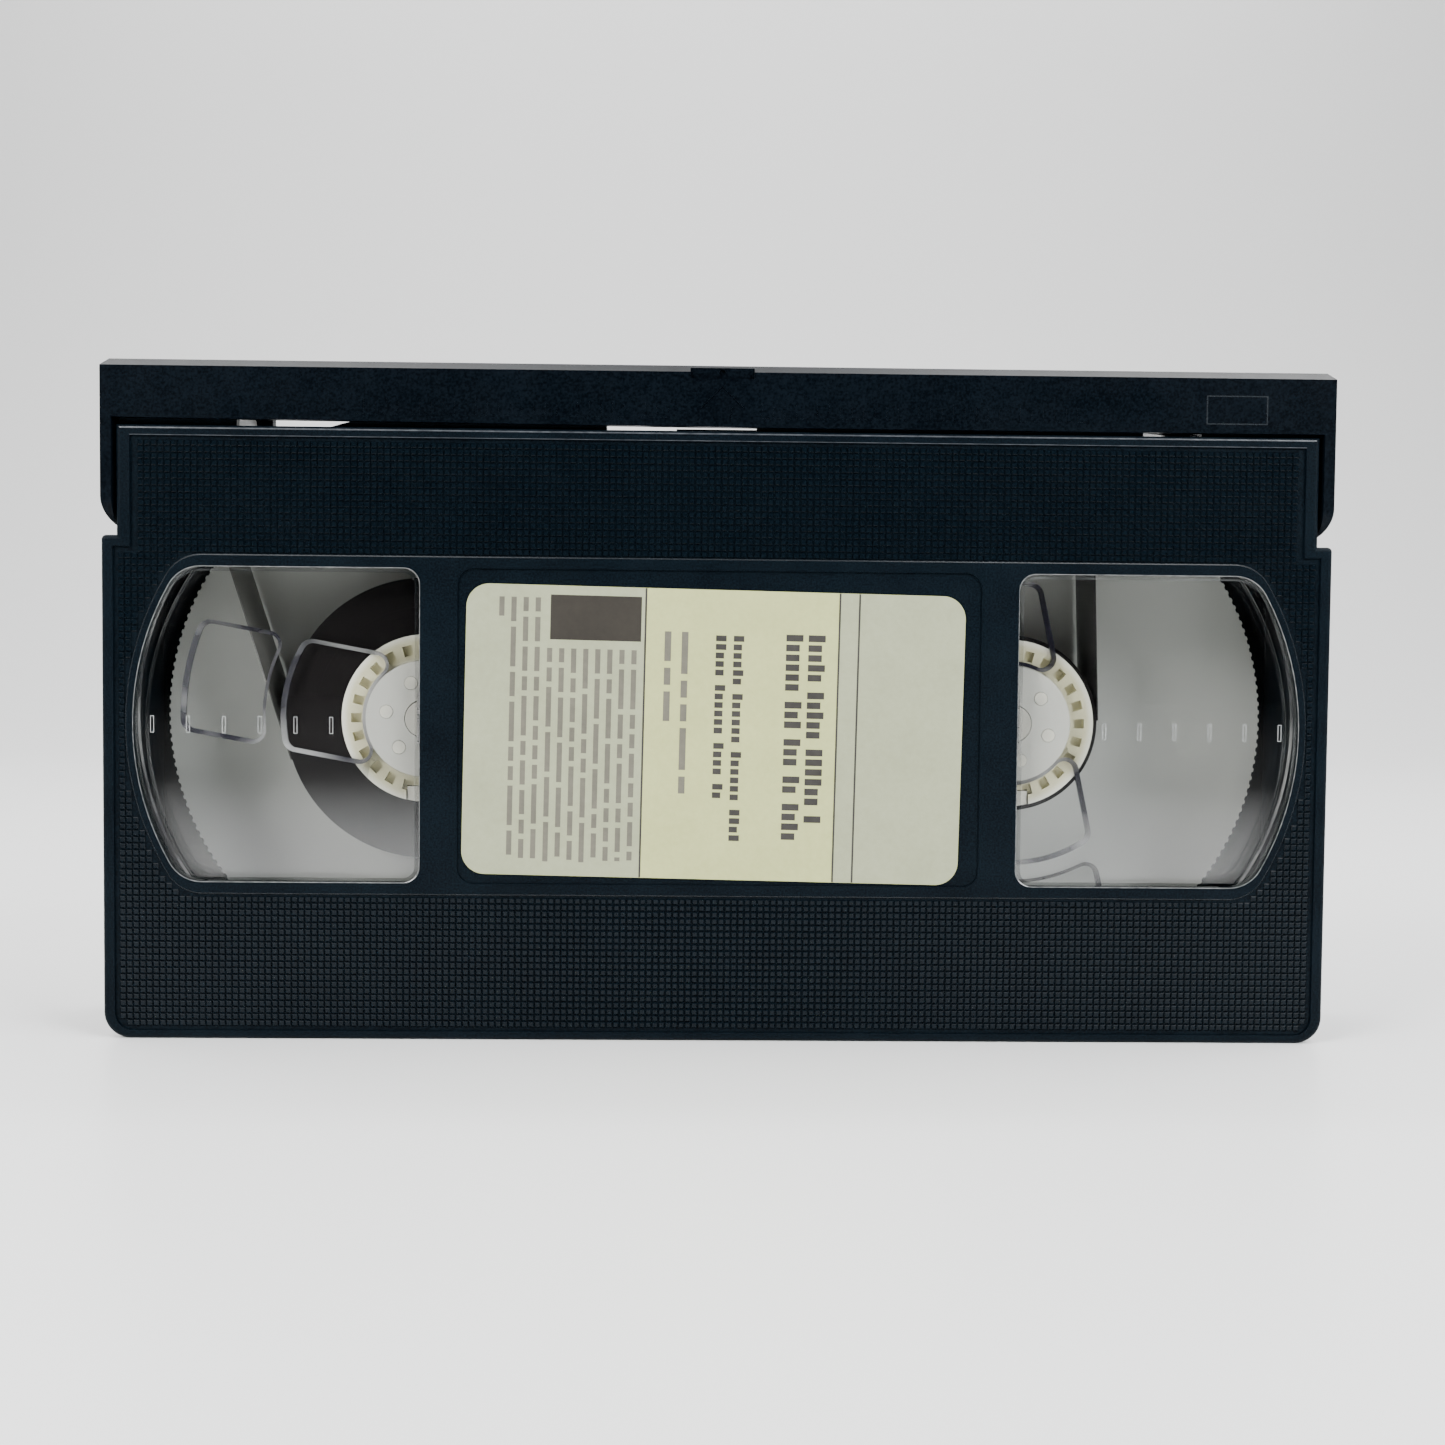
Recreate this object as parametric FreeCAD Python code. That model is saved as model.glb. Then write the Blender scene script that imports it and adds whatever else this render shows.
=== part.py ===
"""A half-inch video cassette standing on its spine, with its hinged lid on top.

Millimetres, +Z up. The window side faces -Y and the drive side faces +Y. The origin is under
the middle of the spine. Two moulded shells meet at y = 0 and hold the reels, the brakes and
the tape path between them.
"""
import FreeCAD, Part
import math
import os

V = FreeCAD.Vector

# Whole cassette
width = 187.0
height = 103.0
thickness = 25.0
front = -thickness / 2
back = thickness / 2

# Lid arms, which set how narrow the neck of the shells is
arm_t = 1.65
arm_clear = 0.65

# Shells
plate = 2.0
wall = 2.0
corner_r = 4.0
edge_r = 0.7
ledge_drop = 26.5
ledge_z = height - ledge_drop
neck_half = width / 2 - arm_t - arm_clear
deck_drop = 9.9
deck_z = height - deck_drop
base_drop = 0.8
base_z = height - base_drop
tower_drop = 1.8
tower_z = height - tower_drop
tower_w = 17.7
tower_x = neck_half - tower_w
tower_foot_gap = 0.3
tower_front_w = 5.7
tower_front_t = 1.3
ear_sink = 1.8
ear_top = front + ear_sink
ear_t = 1.5
ear_foot = 2.1
ear_z = deck_z - ear_foot
split_gap = 0.15
deck_rib_share = ((-0.592, -0.192), (0.058, 0.707))
deck_rib_y = (-0.2, 1.2)
deck_rib_z = (-2.0, 1.3)

# Reels: the flanges are as large as the room across and the room up allow
reel_side_gap = 2.0
reel_middle_gap = 3.0
reel_floor_gap = 3.0
mouth_room = 10.0
room_across = width / 2 - wall - reel_side_gap - reel_middle_gap / 2
room_up = height - wall - reel_floor_gap - mouth_room
flange_r = min(room_across, room_up) / 2
reel_x = flange_r + reel_middle_gap / 2
reel_z = wall + reel_floor_gap + flange_r
tape_room = 12.35
tape_w = thickness - tape_room
hub_r = 13.0
hub_play = 1.35
hub_half = (tape_w + hub_play) / 2
drive_flange_t = 1.4
clear_flange_t = 1.2
tooth_count = 200
tooth_depth = 0.25
boss_r = 10.6
boss_sink = 0.6
boss_y = back - boss_sink
drive_lead_r = 6.2
drive_root_r = 5.8
drive_lead = 2.0
drive_tooth_r = 4.6
drive_tooth_w = 1.4
drive_tooth_count = 6
drive_skin = 2.0
drive_depth = boss_y + hub_half - drive_skin
pocket_ring_r = 10.75
pocket_size = (1.4, 1.6)
pocket_depth = 1.0
pocket_count = 24
stud_ring_r = 5.8
stud_r = 1.0
stud_rise = 2.2
stud_top = -hub_half - stud_rise
stud_count = 6
button_r = 2.8
button_rise = 2.35
button_top = -hub_half - button_rise
cap_r = 8.9
cap_t = 0.9
flange_slot_w = 16.4
flange_slot_r = 1.5
flange_slot_flare = 0.65
flange_slot_gap = 0.8
flange_slot_start = cap_r + flange_slot_gap
flange_slot_bridge = 3.6
flange_slot_rim = 7.2
flange_slot_end = flange_r - flange_slot_rim
supply_turn = 169.6
takeup_turn = 102.2
clip_w = 6.0
clip_depth = 2.4
clip_end_gap = 0.3
fit_gap = 0.15

# Faces of the window side
field_depth = 0.35
field_rim = 1.3
field_side = 1.8
field_half = width / 2 - field_side
field_ledge = 1.7
field_side_z = ledge_z - field_ledge
field_neck_side = 2.1
field_neck_half = neck_half - field_neck_side
field_top = 1.6
field_top_z = deck_z - field_top
window_in_flange = 0.7
window_r = flange_r - window_in_flange
window_cut = 19.4
window_half_h = window_r - window_cut
window_past_reel = 0.1
window_in = reel_x + window_past_reel
band_drop = 1.0
band_z = reel_z - band_drop
band_over = 1.7
band_half_h = window_half_h + band_over
band_side = 1.0
band_r = window_r + band_side
band_blend = 6.0
pocket_rim = 5.75
pocket_over = 0.1
label_pocket = (2 * (window_in - pocket_rim), 2 * (window_half_h + pocket_over))
label_pocket_depth = 0.3
label_pocket_r = 2.5
label_play = 3.8
label_size = (label_pocket[0] - label_play, label_pocket[1] - label_play)
label_t = 0.15
label_r = 3.5
label_turn = -1.05
label_off = (-0.9, -1.0)
label_centre = (label_off[0], band_z + label_off[1])

# Windows
window_blend = 5.5
window_inner_r = 2.5
window_gap = 0.1
window_bevel = 0.7
window_sink = 0.1
window_lip = 1.5
window_lip_t = 0.6
facet_inset = 2.4
facet_r = window_r - facet_inset
facet_w = 0.5
facet_depth = 0.3
mark_size = (0.5, 2.5)
mark_first = 13.4
mark_margin = 2.9
mark_last = window_r - mark_margin
mark_count = 6
mark_depth = 0.15

# Tape
tape_t = 0.16
tape_gap = 0.12
supply_winding = 8.8
supply_pack_r = hub_r + supply_winding
takeup_winding = 0.7
takeup_pack_r = hub_r + takeup_winding
pack_gap = 0.05

# Tape guides
roller_inset = 12.2
roller_x = -neck_half + roller_inset
roller_drop = 7.7
roller_z = height - roller_drop
roller_r = 3.9
roller_over = 0.5
roller_pin_r = 1.2
guide_inset = 11.3
guide_x = neck_half - guide_inset
guide_r = 3.0
inner_pin_out = 14.3
inner_pin_x = reel_x + inner_pin_out
inner_pin_drop = 0.1
inner_pin_z = deck_z - inner_pin_drop
inner_pin_r = 1.8
inner_pin_over = 0.6
pin_seat = 1.0
seat_gap = 0.05

# Openings of the drive side
hub_hole_gap = 0.6
hub_hole_r = boss_r + hub_hole_gap
hub_rib_t = 1.8
hub_rib_gap = 0.3
hub_rib_y = hub_half + drive_flange_t + hub_rib_gap
brake_hole_r = 3.175
brake_hole_drop = 30.0
brake_hole_z = reel_z - brake_hole_drop
lamp_hole_r = 4.8
lamp_drop = 15.0
lamp_z = height - lamp_drop
lamp_slot = (2.0, 6.0, 3.0)
chimney_half = 7.0
chimney_t = 1.5
tongue_half = 12.0
tongue_drop = 8.0
tongue_z = height - tongue_drop
mouth_drop = 18.5
mouth_z = height - mouth_drop
mouth_floor = 4.2
mouth_floor_r = flange_r + mouth_floor
reel_wall_gap = 1.0
reel_wall_r = flange_r + reel_wall_gap
reel_wall_t = 1.4
foot_over = 1.0
datum_in = (4.7, 13.0)
datum = (neck_half - datum_in[0], height - datum_in[1])
datum_r = 2.0
tab_in = (15.5, 22.5, 2.0, 4.0)
tab_pocket = (-width / 2 + tab_in[0], -width / 2 + tab_in[1], tab_in[2], back - tab_in[3])
tab_depth = 5.0
tab_wall = 1.2

# Screws
screw_in = (6.5, 8.0, 4.2, 0.9, 25.5)
foot_screw = (width / 2 - screw_in[0], screw_in[1])
neck_screw = (neck_half - screw_in[2], ledge_z + screw_in[3])
screw_places = ((-foot_screw[0], foot_screw[1]), foot_screw, (-neck_screw[0], neck_screw[1]), neck_screw,
                (0.0, reel_z + screw_in[4]))
screw_post_r = 3.0
screw_shank_r = 1.3
screw_head_r = 2.4
screw_head_t = 1.5
screw_sink = 3.9
screw_seat_y = back - screw_sink
screw_end = 6.1
screw_end_y = front + plate + screw_end
screw_hole_end = 2.5
screw_hole_end_y = front + plate + screw_hole_end
screw_recess = (3.0, 0.7)
screw_recess_floor = 0.7
screw_gap = 0.15

# Lid
lid_t = 1.4
lid_edge_drops = (8.8, 9.35, 9.4)
lid_edge_z = tuple(height - drop for drop in lid_edge_drops)
lid_back_gap = 0.4
lid_depth_y = back - plate - lid_back_gap
lid_bevel = 1.1
arm_side_h = 9.5
arm_side_z = height - arm_side_h
arm_r = 4.5
arm_step = 1.5
pivot_sink = 4.5
pivot_y = front + pivot_sink
pivot_drop = 20.6
pivot_z = height - pivot_drop
arm_curl_drop = 0.1
arm_curl_z = pivot_z - arm_curl_drop
pivot_r = 1.3
pivot_reach = 3.2
pivot_in = neck_half - wall - pivot_reach
pivot_root = 0.1
notch_half = 4.85
notch_h = 2.1
notch_z = height - notch_h
notch_depth = 0.7
notch_hole_r = 0.5
notch_hole_depth = 0.4
arrow_gap = 1.1
arrow_tip_z = notch_z - arrow_gap
arrow_head = (3.2, 3.2)
arrow_stem = (1.35, 1.6)
arrow_end = (0.75, 0.6)
arrow_depth = 0.15
lid_spring_wire = 0.5
lid_spring_r = 1.75
lid_spring_turns = 4.5
lid_spring_pitch = 0.56
lid_spring_side_gap = 0.4
lid_spring_leg_gap = 0.1
lid_spring_leg = pivot_y - front - plate - lid_spring_leg_gap

# Lid latch
latch_slot_in = (7.5, 3.1, 0.4, 6.6)
latch_slot = (back - latch_slot_in[0], back - latch_slot_in[1], pivot_z + latch_slot_in[2], height - latch_slot_in[3])
latch_t = 1.6
latch_foot = 0.5
latch_pin_r = 0.6
latch_pin_rise = 2.2
latch_pin_z = pivot_z + latch_pin_rise
latch_pin_ends = (0.8, 0.5)
latch_pin_hole = 0.8
latch_drop = 7.4
latch_z = height - latch_drop
latch_nub = 0.55
latch_gap = 0.35
latch_button_rise = (4.6, 7.6)
latch_button = tuple(pivot_z + rise for rise in latch_button_rise)
latch_button_r = 0.4
latch_tooth = (2.2, 1.0, 0.3)
latch_tooth_inset = 1.6
latch_leaf = ((0.0, 1.1), (0.6, 5.1), (2.0, 8.0), (2.0, 11.2))
latch_leaf_gap = 0.1
latch_leaf_inset = (0.9, 0.4)

# Reel brakes
brake_place = (5.5, 25.0)
brake_pivot = (brake_place[0], reel_z - brake_place[1])
brake_post_r = 1.2
brake_post_foot = 0.7
brake_boss_r = 2.4
brake_sink = (6.2, 4.0)
brake_y = (back - brake_sink[0], back - brake_sink[1])
brake_tip_angle = 228.0
brake_tooth_gap = 0.35
brake_tooth_h = 1.2
brake_tooth_angle = 1.6
brake_elbow_gap = 0.3
brake_arm_w = 2.2
brake_tail_at = (3.2, 4.6)
brake_tail = (brake_tail_at[0], brake_pivot[1] + brake_tail_at[1])
brake_tail_w = 1.7
hairpin_post_at = (0.9, 9.9)
hairpin_post = (hairpin_post_at[0], brake_pivot[1] + hairpin_post_at[1])
hairpin_end_at = (4.95, 3.6)
hairpin_end = (hairpin_end_at[0], brake_pivot[1] + hairpin_end_at[1])
hairpin_bend_at = (1.35, 10.9)
hairpin_bend = (hairpin_bend_at[0], brake_pivot[1] + hairpin_bend_at[1])
hairpin_rise = 11.6
hairpin_top = brake_pivot[1] + hairpin_rise
hairpin_inset = 0.4
lever_half = 1.9
lever_sink = (3.6, 2.3)
lever_y = (back - lever_sink[0], back - lever_sink[1])
lever_axis_in = (3.1, 37.0)
lever_axis = (back - lever_axis_in[0], reel_z - lever_axis_in[1])
lever_pin_r = 0.8
lever_pin_half = 4.4
lever_drop = 19.0
lever_top_z = reel_z - lever_drop
lever_pad_r = 2.5
lever_nose = (1.5, 1.2, 2.8)
bearing_x = (2.5, 4.6)
bearing_sink = 4.9
bearing_y = back - bearing_sink
bearing_half_h = 1.7
spring_t = 0.4

# Reel spring
reel_spring_t = 0.3
reel_spring_w = 8.0
reel_spring_flat = 2.5
reel_spring_over = 0.9
reel_spring_reach = reel_x + reel_spring_over
reel_spring_gap = 0.1
rivet_x = 3.5
rivet_r = 1.0
rivet_sink = 0.9
rivet_hole = 1.0
rivet_head_r = 1.8
rivet_head_t = 0.5

# Slack leaf: its foot is in a post, and its tip ends just short of the tape
leaf_foot_in = (7.0, 11.7)
leaf_foot = (roller_x - leaf_foot_in[0], roller_z - leaf_foot_in[1])
leaf_tip_drop = 4.7
leaf_tip_z = roller_z - leaf_tip_drop
leaf_tip_gap = 0.26
leaf_t = 0.25
leaf_inset = 0.4
leaf_slot_floor = 0.3
leaf_post = (2.6, 3.0)
leaf_post_gap = 0.2
leaf_post_y = pivot_y + lid_spring_r + lid_spring_wire / 2 + leaf_post_gap

parts = {}


# Helpers: outlines lie in the XZ plane, and solids are drawn out along Y

def prism(points, y0, y1):
    """A straight-sided solid from (x, z) corner points."""
    wire = Part.makePolygon([V(x, y0, z) for x, z in points + points[:1]])
    return Part.Face(wire).extrude(V(0, y1 - y0, 0))


def slab(x0, x1, y0, y1, z0, z1):
    return Part.makeBox(x1 - x0, y1 - y0, z1 - z0, V(x0, y0, z0))


def disc(x, z, r, y0, y1):
    return Part.makeCylinder(r, y1 - y0, V(x, y0, z), V(0, 1, 0))


def ring(x, z, r0, r1, y0, y1):
    return disc(x, z, r1, y0, y1).cut(disc(x, z, r0, y0 - 1, y1 + 1))


def rod_x(y, z, r, x0, x1):
    return Part.makeCylinder(r, x1 - x0, V(x0, y, z), V(1, 0, 0))


def polar(x, z, r, degrees):
    turn = math.radians(degrees)
    return (x + r * math.cos(turn), z + r * math.sin(turn))


def round_upright(solid, radius, places):
    """Round the edges that run along Y through the given (x, z) places."""
    chosen = []
    for edge in solid.Edges:
        ends = [v.Point for v in edge.Vertexes]
        if len(ends) == 2 and abs(ends[0].y - ends[1].y) > 0.01:
            for x, z in places:
                if all(math.hypot(p.x - x, p.z - z) < 0.01 for p in ends):
                    chosen.append(edge)
    return solid.makeFillet(radius, chosen)


def round_face_edge(solid, radius, y):
    """Round the outer edge of the flat face at the given y."""
    chosen = [e for e in solid.Edges if all(abs(v.Y - y) < 1e-6 for v in e.Vertexes)]
    return solid.makeFillet(radius, chosen)


def rounded_slab(size, radius, y0, y1, centre=(0.0, 0.0)):
    half_w, half_h = size[0] / 2, size[1] / 2
    body = slab(-half_w, half_w, y0, y1, -half_h, half_h)
    corners = [(sx * half_w, sz * half_h) for sx in (-1, 1) for sz in (-1, 1)]
    body = round_upright(body, radius, corners)
    body.translate(V(centre[0], 0, centre[1]))
    return body


def strip(points, t, y0, y1):
    """A bent strip of thickness t that follows the (x, z) points."""
    pieces = []
    for (x0, z0), (x1, z1) in zip(points, points[1:]):
        run = math.hypot(x1 - x0, z1 - z0)
        nx, nz = (z1 - z0) / run * t / 2, -(x1 - x0) / run * t / 2
        quad = [(x0 + nx, z0 + nz), (x1 + nx, z1 + nz), (x1 - nx, z1 - nz), (x0 - nx, z0 - nz)]
        pieces.append(prism(quad, y0, y1))
    for x, z in points[1:-1]:
        pieces.append(disc(x, z, t / 2, y0, y1))
    return pieces[0].multiFuse(pieces[1:]).removeSplitter()


def mirrored(solid):
    return solid.mirror(V(0, 0, 0), V(1, 0, 0))


def d_outline(side, inner, half_h, radius, y0, y1):
    """A flat-topped half moon about a reel, with its straight edge at the middle."""
    reach = math.sqrt(radius ** 2 - half_h ** 2)
    corners = [(inner, -half_h), (reel_x + reach, -half_h), (reel_x + reach, half_h), (inner, half_h)]
    at = [V(side * x, y0, band_z + z) for x, z in corners]
    middle = V(side * (reel_x + radius), y0, band_z)
    edges = [Part.LineSegment(at[0], at[1]).toShape(), Part.Arc(at[1], middle, at[2]).toShape(),
             Part.LineSegment(at[2], at[3]).toShape(), Part.LineSegment(at[3], at[0]).toShape()]
    return Part.Face(Part.Wire(edges)).extrude(V(0, y1 - y0, 0))


def window_solid(side, grow, y0, y1):
    half_h = window_half_h + grow
    radius = window_r + grow
    body = d_outline(side, window_in - grow, half_h, radius, y0, y1)
    reach = math.sqrt(radius ** 2 - half_h ** 2)
    outer = [(side * (reel_x + reach), band_z + s * half_h) for s in (-1, 1)]
    inner = [(side * (window_in - grow), band_z + s * half_h) for s in (-1, 1)]
    return round_upright(round_upright(body, window_blend, outer), window_inner_r, inner)


# Shells

def shell_outline(y0, y1, neck_top):
    """The stepped outline of a shell half, seen from the window side."""
    half = width / 2
    points = [(-half, 0), (half, 0), (half, ledge_z), (neck_half, ledge_z), (neck_half, neck_top),
              (-neck_half, neck_top), (-neck_half, ledge_z), (-half, ledge_z)]
    body = prism(points, y0, y1)
    body = round_upright(body, corner_r, [(-half, 0), (half, 0)])
    return round_upright(body, edge_r, [(-half, ledge_z), (half, ledge_z)])


def shell_cavity(y0, y1, neck_top):
    half = width / 2 - wall
    neck = neck_half - wall
    points = [(-half, wall), (half, wall), (half, ledge_z - wall), (neck, ledge_z - wall),
              (neck, neck_top), (-neck, neck_top), (-neck, ledge_z - wall), (-half, ledge_z - wall)]
    return round_upright(prism(points, y0, y1), corner_r - wall, [(-half, wall), (half, wall)])


def reel_walls(y0, y1):
    """Curved walls between the reels and the mouth, open where the tape leaves."""
    outer = reel_wall_r + reel_wall_t
    pieces = []
    for side, start, end in ((-1, 44, 126), (1, 82, 136)):
        full = ring(side * reel_x, reel_z, reel_wall_r, outer, y0, y1)
        fan = [(side * reel_x, reel_z)] + [
            polar(side * reel_x, reel_z, 2 * outer, start + (end - start) * i / 4) for i in range(5)]
        pieces.append(full.common(prism(fan, y0, y1)))
    foot_half = tongue_half + foot_over
    foot_z = reel_z + math.sqrt(reel_wall_r ** 2 - (reel_x - foot_half) ** 2)
    pieces.append(slab(-foot_half, foot_half, y0, y1, foot_z, foot_z + reel_wall_t))
    return pieces


def screw_holes(solid, y0, y1, r):
    for x, z in screw_places:
        solid = solid.cut(disc(x, z, r, y0, y1))
    return solid


def guide_z(r):
    """Height of a guide of radius r whose top brings the tape to the run behind the lid."""
    return roller_z + roller_r - r


def upper_shell():
    body = round_face_edge(shell_outline(front, 0, deck_z), edge_r, front)
    body = body.cut(shell_cavity(front + plate, 1, deck_z + 1))
    for side in (-1, 1):
        body = body.cut(window_solid(side, window_gap, front - 1, front + plate + 1))
    # Ears that hold the tops of the guides under the lid, and the tab of the inner pin
    for side in (-1, 1):
        inner, outer = sorted((side * tower_x, side * neck_half))
        body = body.fuse(slab(inner, outer, ear_top, ear_top + ear_t, ear_z, tower_z))
    tab_half = 2 * inner_pin_r
    body = body.fuse(slab(inner_pin_x - tab_half, inner_pin_x + tab_half, ear_top, ear_top + ear_t,
                          ear_z, inner_pin_z + tab_half))
    # Ribs that stiffen the edge of the deck behind the lid
    for start, end in deck_rib_share:
        body = body.fuse(slab(start * neck_half, end * neck_half, front + plate + deck_rib_y[0],
                              front + plate + deck_rib_y[1], deck_z + deck_rib_z[0], deck_z + deck_rib_z[1]))
    walls = reel_walls(front + plate, -split_gap)
    posts = [disc(x, z, screw_post_r, front + plate, 0) for x, z in screw_places]
    body = body.multiFuse(walls + posts)
    body = screw_holes(body, screw_hole_end_y, 1, screw_shank_r + seat_gap)
    # Seats of the guides
    for x, z, r in ((roller_x, roller_z, roller_pin_r), (guide_x, guide_z(guide_r), guide_r),
                    (inner_pin_x, inner_pin_z, inner_pin_r)):
        body = body.cut(disc(x, z, r + seat_gap, ear_top + ear_t - pin_seat, ear_top + ear_t + 1))
    # Pivot holes of the lid
    for side in (-1, 1):
        ends = sorted((side * (neck_half - wall - 1), side * (neck_half + 1)))
        body = body.cut(rod_x(pivot_y, pivot_z, pivot_r + fit_gap, *ends))
    # Sunken field around the smooth band, with a narrow rim left at the edges
    half = field_half
    field = prism([(-half, field_rim), (half, field_rim), (half, field_side_z),
                   (field_neck_half, field_side_z), (field_neck_half, field_top_z),
                   (-field_neck_half, field_top_z), (-field_neck_half, field_side_z),
                   (-half, field_side_z)], front - 1, front + field_depth)
    field = round_upright(field, corner_r - field_rim, [(-half, field_rim), (half, field_rim)])
    reach = reel_x + math.sqrt(band_r ** 2 - band_half_h ** 2)
    band = d_outline(1, 0, band_half_h, band_r, front - 2, front + plate)
    band = round_upright(band, band_blend, [(reach, band_z + s * band_half_h) for s in (-1, 1)])
    body = body.cut(field.cut(band.fuse(mirrored(band))))
    body = body.cut(rounded_slab(label_pocket, label_pocket_r, front - 1, front + label_pocket_depth,
                                 (0, band_z)))
    # Bores for the rivets of the reel spring
    for x in (-rivet_x, rivet_x):
        body = body.cut(disc(x, reel_z, rivet_r + seat_gap, front + plate - rivet_hole, front + plate + 1))
    return body


def tower_walls():
    """Side and front walls of the corner towers, above the deck."""
    pieces = []
    for side in (-1, 1):
        for (x0, x1), z0, z1 in (((neck_half - wall, neck_half), deck_z + tower_foot_gap, tower_z),
                                 ((neck_half - tower_front_w, neck_half), tower_z - tower_front_t, tower_z)):
            ends = sorted((side * x0, side * x1))
            pieces.append(slab(ends[0], ends[1], ear_top + ear_t + fit_gap, back - plate, z0, z1))
    return pieces


def lower_shell():
    # The base plate is full width as far as the lid, and the walls stand inside the lid's arms
    half = width / 2
    base = prism([(-half, 0), (half, 0), (half, base_z - lid_bevel), (half - lid_bevel, base_z),
                  (-half + lid_bevel, base_z), (-half, base_z - lid_bevel)], back - plate, back)
    base = round_upright(base, corner_r, [(-half, 0), (half, 0)])
    base = round_face_edge(base, edge_r, back)
    walls = shell_outline(0, back - plate, tower_z).cut(shell_cavity(-1, back, tower_z + 1))
    body = base.fuse(walls)
    body = body.multiFuse(tower_walls())
    # Mouth: one opening each side of the tongue, bounded by the reels
    for side in (-1, 1):
        x0, x1 = sorted((side * tongue_half, side * tower_x))
        hole = slab(x0, x1, back - plate - 0.01, back + 1, mouth_z, height)
        hole = hole.cut(disc(side * reel_x, reel_z, mouth_floor_r, 0, back + 2))
        body = body.cut(hole)
    body = body.cut(slab(-tongue_half - 1, tongue_half + 1, back - plate - 0.01, back + 1, tongue_z, height))
    posts = [disc(x, z, screw_post_r, split_gap, back - plate) for x, z in screw_places]
    body = body.multiFuse(reel_walls(0, back - plate) + posts)
    for x, z in screw_places:
        body = body.cut(disc(x, z, screw_shank_r + screw_gap, -1, back + 1))
        body = body.cut(disc(x, z, screw_head_r + screw_gap, screw_seat_y, back + 1))
    # Hub openings with a rib that centres each reel
    for side in (-1, 1):
        x = side * reel_x
        body = body.fuse(ring(x, reel_z, hub_hole_r, hub_hole_r + hub_rib_t, hub_rib_y, back - plate))
        body = body.cut(disc(x, reel_z, hub_hole_r, hub_rib_y - 1, back + 1))
    # Lamp hole in a chimney with a light slot each side
    inside = chimney_half - chimney_t
    slot_y0, slot_y1, slot_h = lamp_slot
    chimney = slab(-chimney_half, chimney_half, 0, back - plate, mouth_z - wall, tongue_z)
    chimney = chimney.cut(slab(-inside, inside, -1, back - plate, mouth_z - wall - 1, tongue_z - chimney_t))
    chimney = chimney.cut(slab(-chimney_half - 1, chimney_half + 1, slot_y0, slot_y1,
                               lamp_z - slot_h / 2, lamp_z + slot_h / 2))
    body = body.fuse(chimney)
    body = body.cut(disc(0, lamp_z, lamp_hole_r, back - plate - 1, back + 1))
    body = body.cut(disc(0, brake_hole_z, brake_hole_r, back - plate - 1, back + 1))
    for side in (-1, 1):
        body = body.cut(disc(side * datum[0], datum[1], datum_r, back - plate - 1, back + 1))
    # Pocket left by the removed erase tab, in the spine
    x0, x1, y0, y1 = tab_pocket
    body = body.fuse(slab(x0 - tab_wall, x1 + tab_wall, y0 - tab_wall, back - plate, 0, tab_depth + tab_wall))
    body = body.cut(slab(x0, x1, y0, y1, -1, tab_depth))
    # Seats of the guides
    for x, z, r in ((roller_x, roller_z, roller_pin_r), (guide_x, guide_z(guide_r), guide_r)):
        body = body.cut(disc(x, z, r + seat_gap, back - plate - 1, back - plate + pin_seat))
    # Opening and pin holes of the lid latch, in the take-up side wall
    y0, y1, z0, z1 = latch_slot
    pin_x = neck_half - wall / 2
    body = body.cut(slab(neck_half - wall - 1, neck_half + 1, y0, y1, z0, z1))
    body = body.cut(disc(pin_x, latch_pin_z, latch_pin_r + fit_gap, y0 - 1, back - plate + latch_pin_hole))
    # Slotted post of the slack leaf
    x, z = leaf_foot
    post = slab(x - leaf_post[0] / 2, x + leaf_post[0] / 2, leaf_post_y, back - plate,
                z - leaf_post[1] / 2, z + leaf_post[1] / 2)
    body = body.fuse(post)
    body = body.cut(strip(leaf_line(), leaf_t + 2 * seat_gap, -tape_w, tape_w / 2 - leaf_slot_floor))
    # Posts of the brakes, of their spring and of the release lever
    post_y = brake_y[0] - brake_post_foot
    axis_y, axis_z = lever_axis
    for side in (-1, 1):
        body = body.fuse(disc(side * brake_pivot[0], brake_pivot[1], brake_post_r, post_y, back - plate))
        ends = sorted((side * bearing_x[0], side * bearing_x[1]))
        bearing = slab(ends[0], ends[1], bearing_y, back - plate, axis_z - bearing_half_h, axis_z + bearing_half_h)
        body = body.fuse(bearing.cut(rod_x(axis_y, axis_z, lever_pin_r + fit_gap, ends[0] - 1, ends[1] + 1)))
    body = body.fuse(disc(0, hairpin_post[1], hairpin_post[0], post_y, back - plate))
    return body


def window_pane(side):
    body = window_solid(side, 0, front + window_sink, front + plate + window_lip_t)
    body = body.fuse(window_solid(side, window_lip, front + plate, front + plate + window_lip_t))
    top = front + window_sink
    rim = [e for e in body.Edges if all(abs(v.Y - top) < 1e-6 for v in e.Vertexes)]
    body = body.makeChamfer(window_bevel, rim)
    # Slanted facet that runs beside the outer edge
    facet = Part.makeCone(facet_r, facet_r + facet_w, facet_depth, V(side * reel_x, top, band_z), V(0, 1, 0))
    groove = disc(side * reel_x, band_z, facet_r + facet_w, top - 1, top + facet_depth).cut(facet)
    groove = groove.cut(disc(side * reel_x, band_z, facet_r, top - 2, top))
    body = body.cut(groove)
    for i in range(mark_count):
        x = side * (reel_x + mark_first + i * (mark_last - mark_first) / (mark_count - 1))
        body = body.cut(slab(x - mark_size[0] / 2, x + mark_size[0] / 2, top - 1, top + mark_depth,
                             band_z - mark_size[1] / 2, band_z + mark_size[1] / 2))
    return body


def face_label():
    floor = front + label_pocket_depth
    body = rounded_slab(label_size, label_r, floor - label_t, floor)
    body.rotate(V(0, 0, 0), V(0, 1, 0), -label_turn)
    body.translate(V(label_centre[0], 0, label_centre[1]))
    return body


# Lid

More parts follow.
